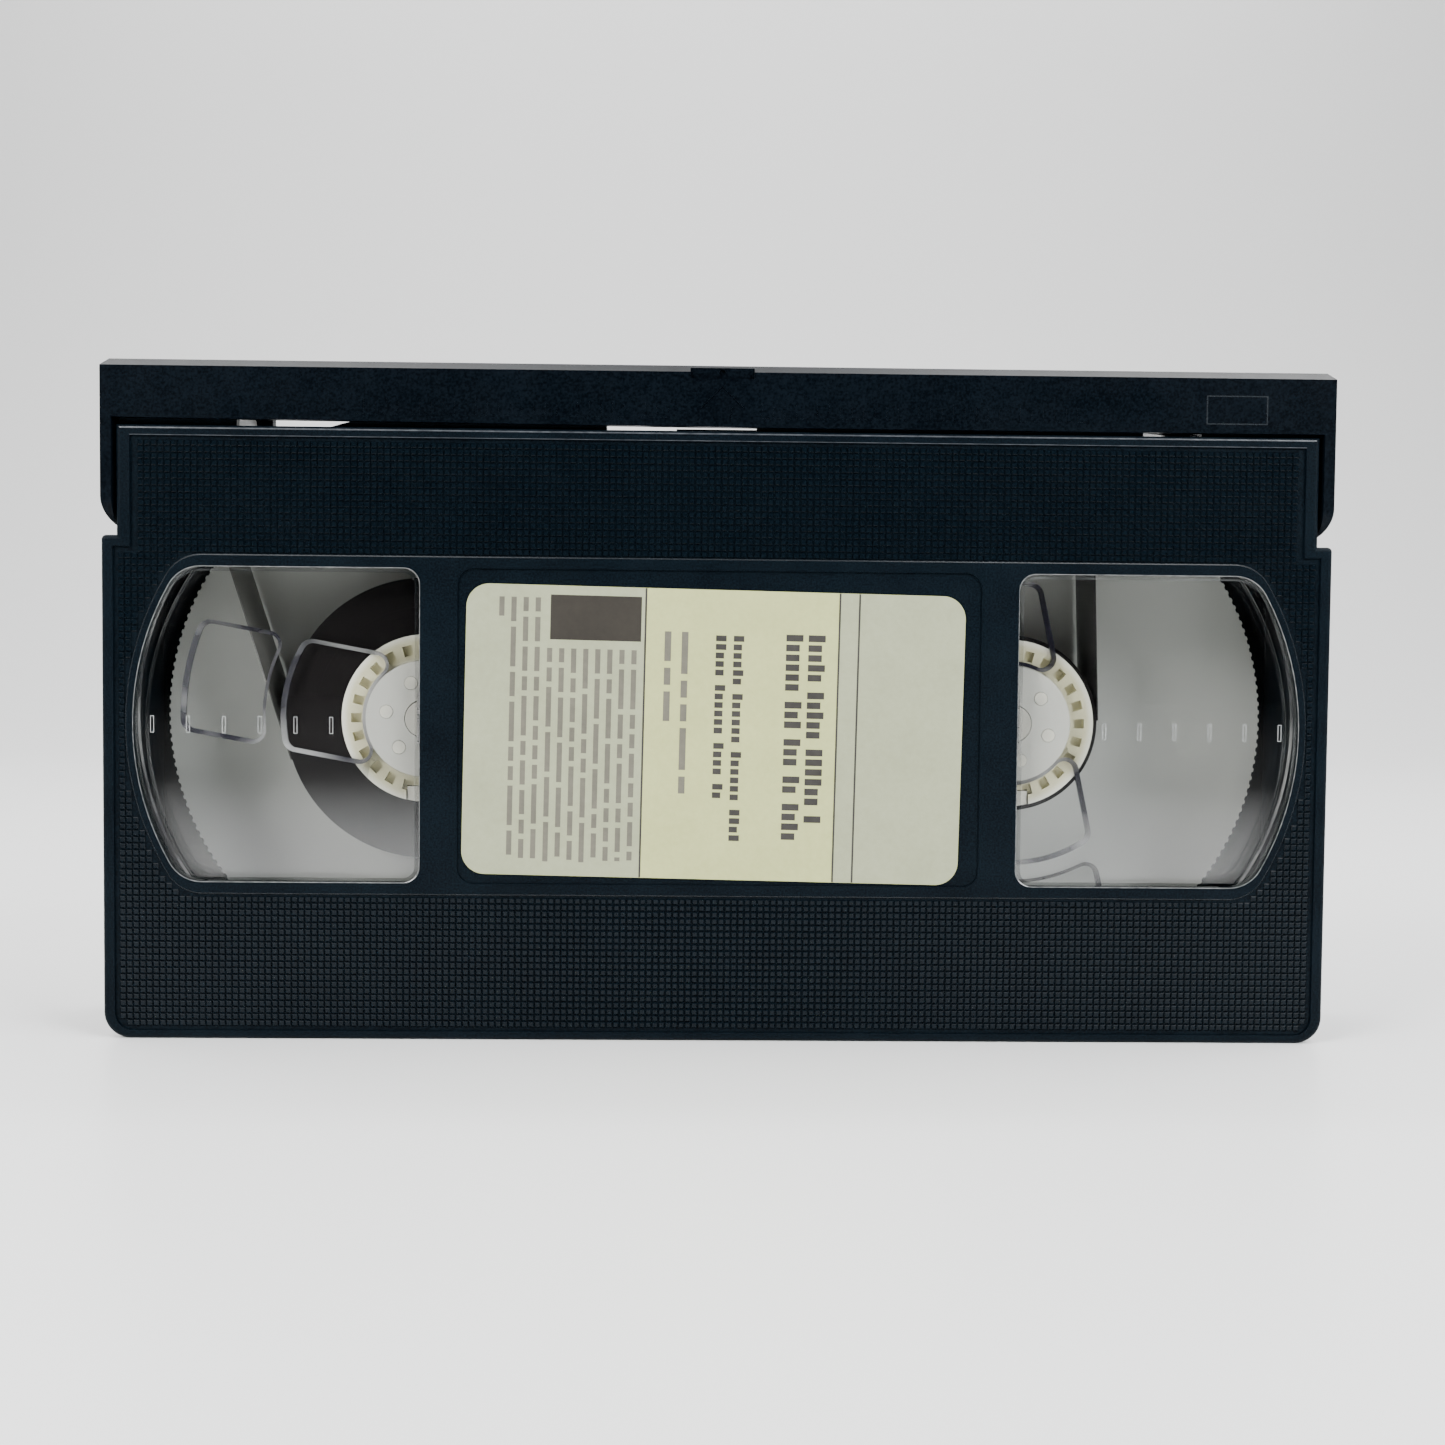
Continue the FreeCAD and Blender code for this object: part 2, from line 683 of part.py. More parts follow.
def lid_arm(side):
    """Side wall of the lid, narrowing to the round end that carries the pivot."""
    top_r = lid_depth_y
    points = [V(0, front, pivot_z), V(0, front, height), V(0, top_r, height), V(0, top_r, arm_side_z),
              V(0, pivot_y + arm_r, pivot_z + arm_step), V(0, pivot_y + arm_r, pivot_z), V(0, front, pivot_z)]
    x0 = width / 2 - arm_t
    arm = Part.Face(Part.makePolygon(points)).extrude(V(arm_t, 0, 0))
    arm.translate(V(x0, 0, 0))
    arm = arm.fuse(rod_x(pivot_y, pivot_z, arm_r, x0, width / 2))
    # The outer face curls in towards the tip
    drop = arm_curl_z - (pivot_z - arm_r)
    curl_r = (drop ** 2 + arm_t ** 2) / (2 * arm_t)
    outside = slab(x0 - 1, width / 2 + 1, front - 1, back, pivot_z - arm_r - 1, arm_curl_z)
    outside = outside.cut(disc(width / 2 - curl_r, arm_curl_z, curl_r, front - 2, back + 1))
    arm = arm.cut(outside)
    arm = arm.fuse(rod_x(pivot_y, pivot_z, pivot_r, pivot_in if side < 0 else neck_half - wall, x0 + pivot_root))
    return arm if side > 0 else mirrored(arm)


def front_lid():
    half = width / 2
    left, middle, right = lid_edge_z
    flange = prism([(-half, left), (0, middle), (half, right), (half, height), (-half, height)],
                   front, front + lid_t)
    wall_top = slab(-half, half, front, lid_depth_y, height - lid_t, height)
    body = flange.multiFuse([wall_top, lid_arm(-1), lid_arm(1)])
    bevel = prism_yz([(front - 1, height - lid_bevel - 1), (front - 1, height + 1),
                      (front + lid_bevel + 1, height + 1)], -half - 1, half + 1)
    body = body.cut(bevel)
    for side in (-1, 1):
        ends = [(side * (half - lid_bevel - 1), height + 1), (side * (half + 1), height + 1),
                (side * (half + 1), height - lid_bevel - 1)]
        body = body.cut(prism(ends, front - 1, back))
    # Notch in the bevel over an engraved arrow
    body = body.cut(slab(-notch_half, notch_half, front - 1, front + notch_depth, notch_z, height + 1))
    body = body.cut(disc(0, (notch_z + height) / 2, notch_hole_r, front - 1, front + notch_depth + notch_hole_depth))
    head_z = arrow_tip_z - arrow_head[1]
    stem_z = head_z - arrow_stem[1]
    right_side = [(arrow_head[0], head_z), (arrow_stem[0], head_z), (arrow_stem[0], stem_z),
                  (arrow_end[0], stem_z - arrow_end[1])]
    arrow = [(0, arrow_tip_z)] + right_side + [(-x, z) for x, z in reversed(right_side)]
    return body.cut(prism(arrow, front - 1, front + arrow_depth))


def prism_yz(points, x0, x1):
    wire = Part.makePolygon([V(x0, y, z) for y, z in points + points[:1]])
    return Part.Face(wire).extrude(V(x1 - x0, 0, 0))


def lid_spring():
    """Torsion spring on the supply side pivot: a coil with one leg out and one leg in."""
    turns = lid_spring_turns
    length = turns * lid_spring_pitch
    path = Part.makeHelix(lid_spring_pitch, length, lid_spring_r)
    rise = lid_spring_pitch / (2 * math.pi * lid_spring_r)
    wire_r = lid_spring_wire / 2
    section = Part.Wire(Part.makeCircle(wire_r, V(lid_spring_r, 0, 0), V(0, 1, rise)))
    coil = Part.Wire(path).makePipeShell([section], True, True)
    leg_out = Part.makeCylinder(wire_r, lid_spring_leg, V(lid_spring_r, 0, 0), V(0, -1, -rise))
    spring = coil.fuse(leg_out)
    spring.rotate(V(0, 0, 0), V(0, 1, 0), 90)
    spring.translate(V(-neck_half + wall + lid_spring_side_gap + wire_r, pivot_y, pivot_z))
    return spring


def lid_latch():
    y0, y1, z0, z1 = latch_slot
    mid = neck_half - wall / 2
    bar = slab(mid - latch_t / 2, mid + latch_t / 2, y0 + latch_gap, y1 - latch_gap, z0 + latch_foot, latch_z)
    button = slab(mid, neck_half + latch_nub, y0 + latch_gap, y1 - latch_gap, *latch_button)
    button = button.makeFillet(latch_button_r, [e for e in button.Edges if all(v.X > neck_half for v in e.Vertexes)])
    drop_in, drop_out, reach = latch_tooth
    tooth = prism([(mid, latch_z - drop_in), (neck_half + reach, latch_z - drop_out),
                   (neck_half + reach, latch_z), (mid, latch_z)], y0 + latch_tooth_inset, y1 - latch_gap)
    pin = disc(mid, latch_pin_z, latch_pin_r, y0 - latch_pin_ends[0], back - plate + latch_pin_ends[1])
    return bar.multiFuse([button, tooth, pin])


def latch_spring():
    inner = neck_half - wall / 2 - latch_t / 2 - latch_leaf_gap - spring_t / 2
    low, high = latch_slot[0] + latch_leaf_inset[0], latch_slot[1] - latch_leaf_inset[1]
    return strip([(inner - away, latch_z - drop) for away, drop in latch_leaf], spring_t, low, high)


# Reels

def toothed_disc(x, y0, y1):
    points = []
    for i in range(tooth_count):
        step = 360.0 / tooth_count
        for part, r in ((0.0, flange_r), (0.35, flange_r), (0.5, flange_r - tooth_depth),
                        (0.9, flange_r - tooth_depth)):
            points.append(polar(x, reel_z, r, (i + part) * step))
    return prism(points, y0, y1)


def drive_bore(x):
    """Blind bore for a drive spindle: a plain lead-in, then six teeth."""
    bore = disc(x, reel_z, drive_root_r, boss_y - drive_depth, boss_y)
    bore = bore.fuse(disc(x, reel_z, drive_lead_r, boss_y - drive_lead, boss_y + 1))
    teeth = []
    for i in range(drive_tooth_count):
        tooth = slab(drive_tooth_r, drive_lead_r + 0.5, boss_y - drive_depth - 0.5, boss_y - drive_lead,
                     -drive_tooth_w / 2, drive_tooth_w / 2)
        tooth.rotate(V(0, 0, 0), V(0, 1, 0), i * 360.0 / drive_tooth_count)
        tooth.translate(V(x, 0, reel_z))
        teeth.append(tooth)
    return bore.cut(teeth[0].multiFuse(teeth[1:]))


def clip_slot(x, y0, y1, play):
    depth = clip_depth + play
    half = clip_w / 2 - fit_gap + play
    return slab(x - half, x + half, y0, y1, reel_z - hub_r - 1, reel_z - hub_r + depth)


def hub(x, turn):
    body = disc(x, reel_z, hub_r, -hub_half, hub_half)
    body = body.fuse(toothed_disc(x, hub_half, hub_half + drive_flange_t))
    body = body.fuse(disc(x, reel_z, boss_r, hub_half + drive_flange_t, boss_y))
    body = body.cut(drive_bore(x))
    body = body.cut(clip_slot(x, -hub_half - 1, hub_half, fit_gap))
    pockets = []
    for i in range(pocket_count):
        pocket = slab(pocket_ring_r - pocket_size[1] / 2, pocket_ring_r + pocket_size[1] / 2,
                      -hub_half - 1, -hub_half + pocket_depth, -pocket_size[0] / 2, pocket_size[0] / 2)
        pocket.rotate(V(0, 0, 0), V(0, 1, 0), i * 360.0 / pocket_count)
        pocket.translate(V(x, 0, reel_z))
        pockets.append(pocket)
    body = body.cut(pockets[0].multiFuse(pockets[1:]))
    studs = [disc(*polar(x, reel_z, stud_ring_r, turn + i * 360.0 / stud_count), stud_r, stud_top, -hub_half)
             for i in range(stud_count)]
    return body.multiFuse(studs + [disc(x, reel_z, button_r, button_top, -hub_half)])


def flange_slot(r0, r1):
    """A slot along the +X radius: parallel sides, and ends that curve about the reel's centre."""
    half = flange_slot_w / 2
    y0, y1 = -hub_half - clear_flange_t - 1, -hub_half + 1
    body = ring(0, 0, r0, r1, y0, y1).common(slab(0, r1, y0, y1, -half, half))
    corners = [(math.sqrt(r * r - half * half), side * half) for r in (r0, r1) for side in (-1, 1)]
    return round_upright(body, flange_slot_r, corners)


def clear_flange(x, turn):
    """The see-through upper flange: two pairs of slots with flared front edges, and a cap."""
    top = -hub_half - clear_flange_t
    body = disc(x, reel_z, flange_r, top, -hub_half)
    length = (flange_slot_end - flange_slot_start - flange_slot_bridge) / 2
    for r0 in (flange_slot_start, flange_slot_end - length):
        slot = flange_slot(r0, r0 + length)
        for half_turn in (0, 180):
            cutter = slot.copy()
            cutter.rotate(V(0, 0, 0), V(0, 1, 0), -(turn + half_turn))
            cutter.translate(V(x, 0, reel_z))
            body = body.cut(cutter)
    flared = [edge for edge in body.Edges
              if all(abs(v.Y - top) < 1e-6 and math.hypot(v.X - x, v.Z - reel_z) < flange_slot_end + 1
                     for v in edge.Vertexes)]
    body = body.makeChamfer(flange_slot_flare, flared)
    body = body.fuse(disc(x, reel_z, cap_r, top - cap_t, top))
    body = body.cut(disc(x, reel_z, button_r + fit_gap, top - 3, 0))
    for i in range(stud_count):
        place = polar(x, reel_z, stud_ring_r, turn + i * 360.0 / stud_count)
        body = body.cut(disc(*place, stud_r + seat_gap, top - 3, 0))
    return body


def leader_clip(x):
    body = clip_slot(x, -hub_half + clip_end_gap, hub_half - clip_end_gap, 0)
    return body.common(disc(x, reel_z, hub_r, -hub_half, hub_half))


def pack(x, r):
    return ring(x, reel_z, hub_r + pack_gap, r, -tape_w / 2, tape_w / 2)


# Tape run: straight runs and arcs round a chain of circles

def tape_path(offset):
    """Edges of the tape's centre line, moved sideways to the right of its travel."""
    lift = tape_gap + tape_t / 2
    chain = [(-reel_x, reel_z, supply_pack_r + lift, 1), (roller_x, roller_z, roller_r + lift, 1),
             (guide_x, guide_z(guide_r), guide_r + lift, 1), (inner_pin_x, inner_pin_z, inner_pin_r + lift, -1),
             (reel_x, reel_z, takeup_pack_r + lift, 1)]
    touch = []
    for (xa, za, ra, sa), (xb, zb, rb, sb) in zip(chain, chain[1:]):
        dx, dz = xb - xa, zb - za
        side = sb * rb - sa * ra
        run = math.sqrt(dx ** 2 + dz ** 2 - side ** 2)
        heading = math.atan2(dz, dx) + math.atan2(side, run)
        nx, nz = math.sin(heading), -math.cos(heading)
        touch.append(((xa - (sa * ra - offset) * nx, za - (sa * ra - offset) * nz),
                      (xb - (sb * rb - offset) * nx, zb - (sb * rb - offset) * nz), heading))
    edges = []
    for i, (start, end, heading) in enumerate(touch):
        if i:
            x, z, r, s = chain[i]
            before = touch[i - 1][2]
            turned = (heading - before) % (2 * math.pi)
            if s > 0:
                turned -= 2 * math.pi
            middle = before + turned / 2
            reach = s * r - offset
            via = (x - reach * math.sin(middle), z + reach * math.cos(middle))
            edges.append(("arc", touch[i - 1][1], via, start))
        edges.append(("line", start, end))
    return edges


def tape_run():
    def build(edges):
        made = []
        for kind, *points in edges:
            at = [V(x, -tape_w / 2, z) for x, z in points]
            made.append(Part.Arc(*at).toShape() if kind == "arc" else Part.LineSegment(*at).toShape())
        return made

    sides = [tape_path(-tape_t / 2), tape_path(tape_t / 2)]
    ends = [[V(x, -tape_w / 2, z) for x, z in (sides[0][i][j], sides[1][i][j])] for i, j in ((0, 1), (-1, -1))]
    caps = [Part.LineSegment(*pair).toShape() for pair in ends]
    loop = Part.Wire(Part.__sortEdges__(build(sides[0]) + build(sides[1]) + caps))
    return Part.Face(loop).extrude(V(0, tape_w, 0))


def guide_roller():
    body = disc(roller_x, roller_z, roller_r, -tape_w / 2 - roller_over, tape_w / 2 + roller_over)
    return body.cut(disc(roller_x, roller_z, roller_pin_r + fit_gap, -20, 20))


def roller_pin():
    top = ear_top + ear_t - pin_seat + seat_gap
    return disc(roller_x, roller_z, roller_pin_r, top, back - plate + pin_seat - seat_gap)


def takeup_guide():
    top = ear_top + ear_t - pin_seat + seat_gap
    return disc(guide_x, guide_z(guide_r), guide_r, top, back - plate + pin_seat - seat_gap)


def inner_guide_pin():
    top = ear_top + ear_t - pin_seat + seat_gap
    return disc(inner_pin_x, inner_pin_z, inner_pin_r, top, tape_w / 2 + inner_pin_over)


def leaf_line():
    (x0, z0), (x1, z1) = tape_path(-tape_t / 2)[0][1:]
    x = x0 + (x1 - x0) * (leaf_tip_z - z0) / (z1 - z0)
    return [leaf_foot, (x - leaf_tip_gap, leaf_tip_z)]


def slack_leaf():
    return strip(leaf_line(), leaf_t, -tape_w / 2 + leaf_inset, tape_w / 2 - leaf_inset)


# Springs, brakes and screws

def reel_spring():
    low = button_top - reel_spring_gap
    flat = front + plate + reel_spring_t
    top_line = [(-reel_spring_reach, low), (-reel_x + reel_spring_flat, low), (-2 * rivet_x, flat), (2 * rivet_x, flat),
                (reel_x - reel_spring_flat, low), (reel_spring_reach, low)]
    lower = [(x, y - reel_spring_t) for x, y in reversed(top_line)]
    z0 = reel_z - reel_spring_w / 2
    wire = Part.makePolygon([V(x, y, z0) for x, y in top_line + lower + top_line[:1]])
    body = Part.Face(wire).extrude(V(0, 0, reel_spring_w))
    for x in (-rivet_x, rivet_x):
        body = body.cut(disc(x, reel_z, rivet_r + seat_gap, front, 0))
    return body


def reel_spring_rivets():
    under = front + plate + reel_spring_t
    made = []
    for x in (-rivet_x, rivet_x):
        rivet = disc(x, reel_z, rivet_r, front + plate - rivet_sink, under)
        made.append(rivet.fuse(disc(x, reel_z, rivet_head_r, under, under + rivet_head_t)))
    return Part.makeCompound(made)


def brake_pawl():
    """The take-up pawl: a boss, an arm that ends at the reel's teeth and a tail for the lever."""
    px, pz = brake_pivot
    y0, y1 = brake_y
    tip_r = flange_r + brake_tooth_gap
    tip = polar(reel_x, reel_z, tip_r, brake_tip_angle)
    elbow = polar(reel_x, reel_z, tip_r + brake_arm_w / 2 + brake_elbow_gap, brake_tip_angle)
    tooth = [polar(reel_x, reel_z, tip_r + brake_tooth_h, brake_tip_angle - brake_tooth_angle), tip,
             polar(reel_x, reel_z, tip_r + brake_tooth_h, brake_tip_angle + brake_tooth_angle)]
    pieces = [strip([(px, pz), elbow], brake_arm_w, y0, y1), disc(*elbow, brake_arm_w / 2, y0, y1),
              prism(tooth, y0, y1), strip([(px, pz), brake_tail], brake_tail_w, y0, y1),
              disc(*brake_tail, brake_tail_w / 2, y0, y1)]
    body = disc(px, pz, brake_boss_r, y0, y1).multiFuse(pieces)
    return body.cut(disc(px, pz, brake_post_r + fit_gap, y0 - 1, y1 + 1)).removeSplitter()


def brake_spring():
    """Hairpin over its post, with a leg outside each tail."""
    left_leg = [(-hairpin_end[0], hairpin_end[1]), (-hairpin_bend[0], hairpin_bend[1])]
    points = left_leg + [(0, hairpin_top), hairpin_bend, hairpin_end]
    return strip(points, spring_t, brake_y[0] + hairpin_inset, brake_y[1] - hairpin_inset)


def brake_release_lever():
    y0, y1 = lever_y
    axis_y, axis_z = lever_axis
    body = slab(-lever_half, lever_half, y0, y1, axis_z, lever_top_z)
    pin = rod_x(axis_y, axis_z, lever_pin_r, -lever_pin_half, lever_pin_half)
    pad = disc(0, brake_hole_z, lever_pad_r, y0, y1)
    half, reach, drop = lever_nose
    nose = slab(-half, half, y0 - reach, y0 + (y1 - y0) / 2, lever_top_z - drop, lever_top_z)
    return body.multiFuse([pin, pad, nose])


def shell_screws():
    made = []
    for x, z in screw_places:
        head = disc(x, z, screw_head_r, screw_seat_y, screw_seat_y + screw_head_t)
        length, w = screw_recess
        floor = screw_seat_y + screw_recess_floor
        for a, b in ((length, w), (w, length)):
            head = head.cut(slab(x - a / 2, x + a / 2, floor, back, z - b / 2, z + b / 2))
        made.append(head.fuse(disc(x, z, screw_shank_r, screw_end_y, screw_seat_y)))
    return Part.makeCompound(made)


parts["upper_shell"] = upper_shell()
parts["lower_shell"] = lower_shell()
parts["left_window"] = window_pane(-1)
parts["right_window"] = window_pane(1)
parts["face_label"] = face_label()
parts["front_lid"] = front_lid()
parts["lid_spring"] = lid_spring()
parts["lid_latch"] = lid_latch()
parts["latch_spring"] = latch_spring()
for name, x, turn, pack_r in (("supply", -reel_x, supply_turn, supply_pack_r),
                              ("takeup", reel_x, takeup_turn, takeup_pack_r)):
    parts[name + "_hub"] = hub(x, turn)
    parts[name + "_clear_flange"] = clear_flange(x, turn)
    parts[name + "_leader_clip"] = leader_clip(x)
    parts[name + "_tape_pack"] = pack(x, pack_r)
parts["tape_run"] = tape_run()
parts["supply_guide_roller"] = guide_roller()
parts["roller_pin"] = roller_pin()
parts["takeup_guide"] = takeup_guide()
parts["inner_guide_pin"] = inner_guide_pin()
parts["slack_leaf"] = slack_leaf()
parts["reel_spring"] = reel_spring()
parts["reel_spring_rivets"] = reel_spring_rivets()
parts["takeup_brake_pawl"] = brake_pawl()
parts["supply_brake_pawl"] = mirrored(brake_pawl())
parts["brake_spring"] = brake_spring()
parts["brake_release_lever"] = brake_release_lever()
parts["shell_screws"] = shell_screws()

os.makedirs("parts", exist_ok=True)
for name, shape in parts.items():
    shape.exportStep("parts/" + name + ".step")
    print(name, len(shape.Solids), "solid", round(shape.Volume, 1), "mm3, valid", shape.isValid())
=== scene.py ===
import math
import random

import bpy
from mathutils import Matrix, Vector


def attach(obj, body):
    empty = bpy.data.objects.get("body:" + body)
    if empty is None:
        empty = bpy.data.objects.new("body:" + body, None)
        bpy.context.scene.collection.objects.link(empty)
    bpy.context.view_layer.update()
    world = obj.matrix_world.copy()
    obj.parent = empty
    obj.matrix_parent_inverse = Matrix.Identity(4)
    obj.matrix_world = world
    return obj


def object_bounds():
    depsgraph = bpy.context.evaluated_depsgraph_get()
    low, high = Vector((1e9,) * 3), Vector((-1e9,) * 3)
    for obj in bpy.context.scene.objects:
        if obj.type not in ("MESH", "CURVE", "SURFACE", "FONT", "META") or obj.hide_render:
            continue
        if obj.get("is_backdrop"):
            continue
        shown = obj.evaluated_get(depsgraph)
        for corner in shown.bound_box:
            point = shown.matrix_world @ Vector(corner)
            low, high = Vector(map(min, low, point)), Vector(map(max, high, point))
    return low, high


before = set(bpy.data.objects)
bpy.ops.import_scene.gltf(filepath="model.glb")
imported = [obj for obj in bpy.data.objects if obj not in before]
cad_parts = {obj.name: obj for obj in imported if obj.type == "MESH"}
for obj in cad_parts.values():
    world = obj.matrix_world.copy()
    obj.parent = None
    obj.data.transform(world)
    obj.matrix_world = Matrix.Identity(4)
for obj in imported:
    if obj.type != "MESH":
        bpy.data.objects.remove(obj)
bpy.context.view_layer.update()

MM = 0.001
rng = random.Random(11)

# Places of the CAD model that the added pieces follow, in millimetres
FACE_Y = -12.5
FIELD_FLOOR_Y = -12.15
FIELD_HALF_W, FIELD_LOW_Z, FIELD_TOP_Z, FIELD_CORNER = 91.7, 1.3, 91.5, 2.7
NECK_Z, NECK_FIELD_HALF_W = 74.8, 89.1
DECK_HALF_W = 90.6
LABEL_Y = -12.35
BAND_Z = 48.0
BAND_HALF_H = 25.6
BAND_R = 44.3
BAND_BLEND = 6.0
PANE_Y = -12.4
PANE_HALF_H = 23.9
PANE_R = 43.3
PANE_BLEND = 5.5
PANE_IN = 45.6
PANE_CORNER = 2.5
MARK_FIRST, MARK_STEP, MARK_COUNT = 13.4, 5.4, 6
REEL_X = 45.5
REEL_Z = 49.0

SQUARE = ((-1, -1), (1, -1), (1, 1), (-1, 1))


# Materials

class Nodes:
    """A small hand for building a material's node tree."""

    def __init__(self, name):
        self.material = bpy.data.materials.new(name)
        self.material.use_nodes = True
        self.tree = self.material.node_tree
        self.tree.nodes.clear()
        self.out = self.add("ShaderNodeOutputMaterial")
        coords = self.add("ShaderNodeTexCoord")
        self.where, self.normal = coords.outputs["Object"], coords.outputs["Normal"]

    def add(self, kind, **values):
        node = self.tree.nodes.new(kind)
        for key, value in values.items():
            if hasattr(node, key):
                setattr(node, key, value)
            else:
                node.inputs[key.replace("_", " ")].default_value = value
        return node

    def link(self, start, end):
        self.tree.links.new(start, end)

    def split(self, source):
        """The X, Y and Z of a place or a direction."""
        node = self.add("ShaderNodeSeparateXYZ")
        self.link(source, node.inputs[0])
        return node.outputs

    def noise(self, scale, detail=2.0, rough=0.5, stretch=None):
        source = self.where
        if stretch:
            scaled = self.add("ShaderNodeVectorMath", operation="MULTIPLY")
            self.link(source, scaled.inputs[0])
            scaled.inputs[1].default_value = stretch
            source = scaled.outputs[0]
        node = self.add("ShaderNodeTexNoise", Scale=scale, Detail=detail, Roughness=rough)
        self.link(source, node.inputs["Vector"])
        return node.outputs["Fac"]

    def ranged(self, value, low, high, to_low, to_high):
        node = self.add("ShaderNodeMapRange")
        self.link(value, node.inputs["Value"])
        for key, number in (("From Min", low), ("From Max", high),
                            ("To Min", to_low), ("To Max", to_high)):
            node.inputs[key].default_value = number
        return node.outputs["Result"]

    def ramp(self, value, stops):
        node = self.add("ShaderNodeValToRGB")
        band = node.color_ramp
        while len(band.elements) < len(stops):
            band.elements.new(0.5)
        for element, (place, colour) in zip(band.elements, stops):
            element.position = place
            element.color = (*colour, 1.0)
        self.link(value, node.inputs["Fac"])
        return node.outputs["Color"]

    def bump(self, height, strength, distance):
        node = self.add("ShaderNodeBump", Strength=strength, Distance=distance)
        self.link(height, node.inputs["Height"])
        return node.outputs["Normal"]

    def math(self, operation, a, b=None):
        node = self.add("ShaderNodeMath", operation=operation)
        for socket, value in zip(node.inputs, (a, b)):
            if value is None:
                continue
            if isinstance(value, (int, float)):
                socket.default_value = value
            else:
                self.link(value, socket)
        return node.outputs[0]

    def mix(self, share, first, second):
        node = self.add("ShaderNodeMixShader")
        for socket, source in zip(node.inputs, (share, first, second)):
            self.link(source, socket)
        return node.outputs[0]

    def reel_radius(self):
        """Distance from the nearer reel's axis, in metres."""
        place = self.split(self.where)
        along = self.math("SUBTRACT", self.math("ABSOLUTE", place["X"]), REEL_X * MM)
        up = self.math("SUBTRACT", place["Z"], REEL_Z * MM)
        return self.math("SQRT", self.math("ADD", self.math("MULTIPLY", along, along),
                                           self.math("MULTIPLY", up, up)))


def principled(nodes, base, rough, metallic=0.0, specular=0.5, **extra):
    shader = nodes.add("ShaderNodeBsdfPrincipled")
    if isinstance(base, tuple):
        shader.inputs["Base Color"].default_value = (*base, 1.0)
    else:
        nodes.link(base, shader.inputs["Base Color"])
    if isinstance(rough, (int, float)):
        shader.inputs["Roughness"].default_value = rough
    else:
        nodes.link(rough, shader.inputs["Roughness"])
    shader.inputs["Metallic"].default_value = metallic
    shader.inputs["Specular IOR Level"].default_value = specular
    for key, value in extra.items():
        shader.inputs[key.replace("_", " ")].default_value = value
    nodes.link(shader.outputs[0], nodes.out.inputs["Surface"])
    return shader


def shade(low, high, nodes, value):
    """A colour between two tones that a noise value picks."""
    return nodes.ramp(value, [(0.3, low), (0.7, high)])


def moulded(name, low, high, rough, grain_scale, grain,
            specular=0.5, sparkle=0.0, edge_shine=0.0, spread=0.2):
    """Moulded plastic: a fine spark-eroded grain in colour and relief, and slightly uneven gloss.

    With edge_shine, faces that look upwards are polished more than the others.
    """
    nodes = Nodes(name)
    fine = nodes.noise(grain_scale, 2.0, 0.6)
    tone = nodes.math("ADD", nodes.math("MULTIPLY", nodes.noise(120.0, 3.0), 0.2),
                      nodes.math("MULTIPLY", fine, 0.8))
    colour = nodes.ramp(tone, [(0.5 - spread, low), (0.5 + spread, high)])
    gloss = nodes.ranged(nodes.noise(260.0, 4.0), 0.3, 0.7, rough - 0.03, rough + 0.03)
    if sparkle:
        flecks = nodes.ranged(fine, 0.62, 0.8, 0.0, 1.0)
        gloss = nodes.math("SUBTRACT", gloss, nodes.math("MULTIPLY", flecks, sparkle))
    shader = principled(nodes, colour, gloss, specular=specular)
    if edge_shine:
        upward = nodes.split(nodes.normal)["Z"]
        nodes.link(nodes.ranged(upward, 0.3, 0.6, specular, edge_shine),
                   shader.inputs["Specular IOR Level"])
    nodes.link(nodes.bump(fine, 1.0, grain), shader.inputs["Normal"])
    return nodes.material


def tape_side(name):
    """The coated side of the tape, paler on the supply run: a painted reflection of the lit disc
    behind it.
    """
    nodes = Nodes(name)
    fine = nodes.noise(5200.0, 2.0, 0.6)
    # Painted reflection: the colour grows paler towards the supply side, standing in for the lit disc
    # the tape mirrors.
    painted_reflection = nodes.ranged(nodes.split(nodes.where)["X"], -0.050, -0.010, 0.0, 0.9)
    place = nodes.math("ADD", painted_reflection, nodes.math("MULTIPLY", fine, 0.1))
    colour = nodes.ramp(place, [(0.05, (0.165, 0.162, 0.148)), (0.95, (0.038, 0.037, 0.037))])
    shader = principled(nodes, colour, 0.22, specular=0.6)
    nodes.link(nodes.bump(fine, 1.0, 0.000004), shader.inputs["Normal"])
    return nodes.material


def metal(name, low, high, rough, stretch):
    nodes = Nodes(name)
    brushed = nodes.noise(900.0, 3.0, 0.6, stretch)
    colour = shade(low, high, nodes, nodes.noise(200.0, 3.0))
    gloss = nodes.ranged(brushed, 0.3, 0.7, rough - 0.06, rough + 0.08)
    shader = principled(nodes, colour, gloss, metallic=1.0)
    nodes.link(nodes.bump(brushed, 0.35, 0.00002), shader.inputs["Normal"])
    return nodes.material


def sheet(nodes, tint, smear):
    """A clear surface: plain transparency under a share of gloss that grows towards grazing."""
    facing = nodes.add("ShaderNodeLayerWeight", Blend=0.5).outputs["Facing"]
    share = nodes.ranged(nodes.math("POWER", facing, 5.0), 0.0, 1.0, 0.05, 1.0)
    through = nodes.add("ShaderNodeBsdfTransparent")
    through.inputs["Color"].default_value = (*tint, 1.0)
    gloss = nodes.add("ShaderNodeBsdfGlossy")
    cloud = nodes.ranged(nodes.noise(90.0, 4.0, 0.6), 0.35, 0.75, 0.02, smear)
    nodes.link(cloud, gloss.inputs["Roughness"])
    return nodes.mix(share, through.outputs[0], gloss.outputs[0])


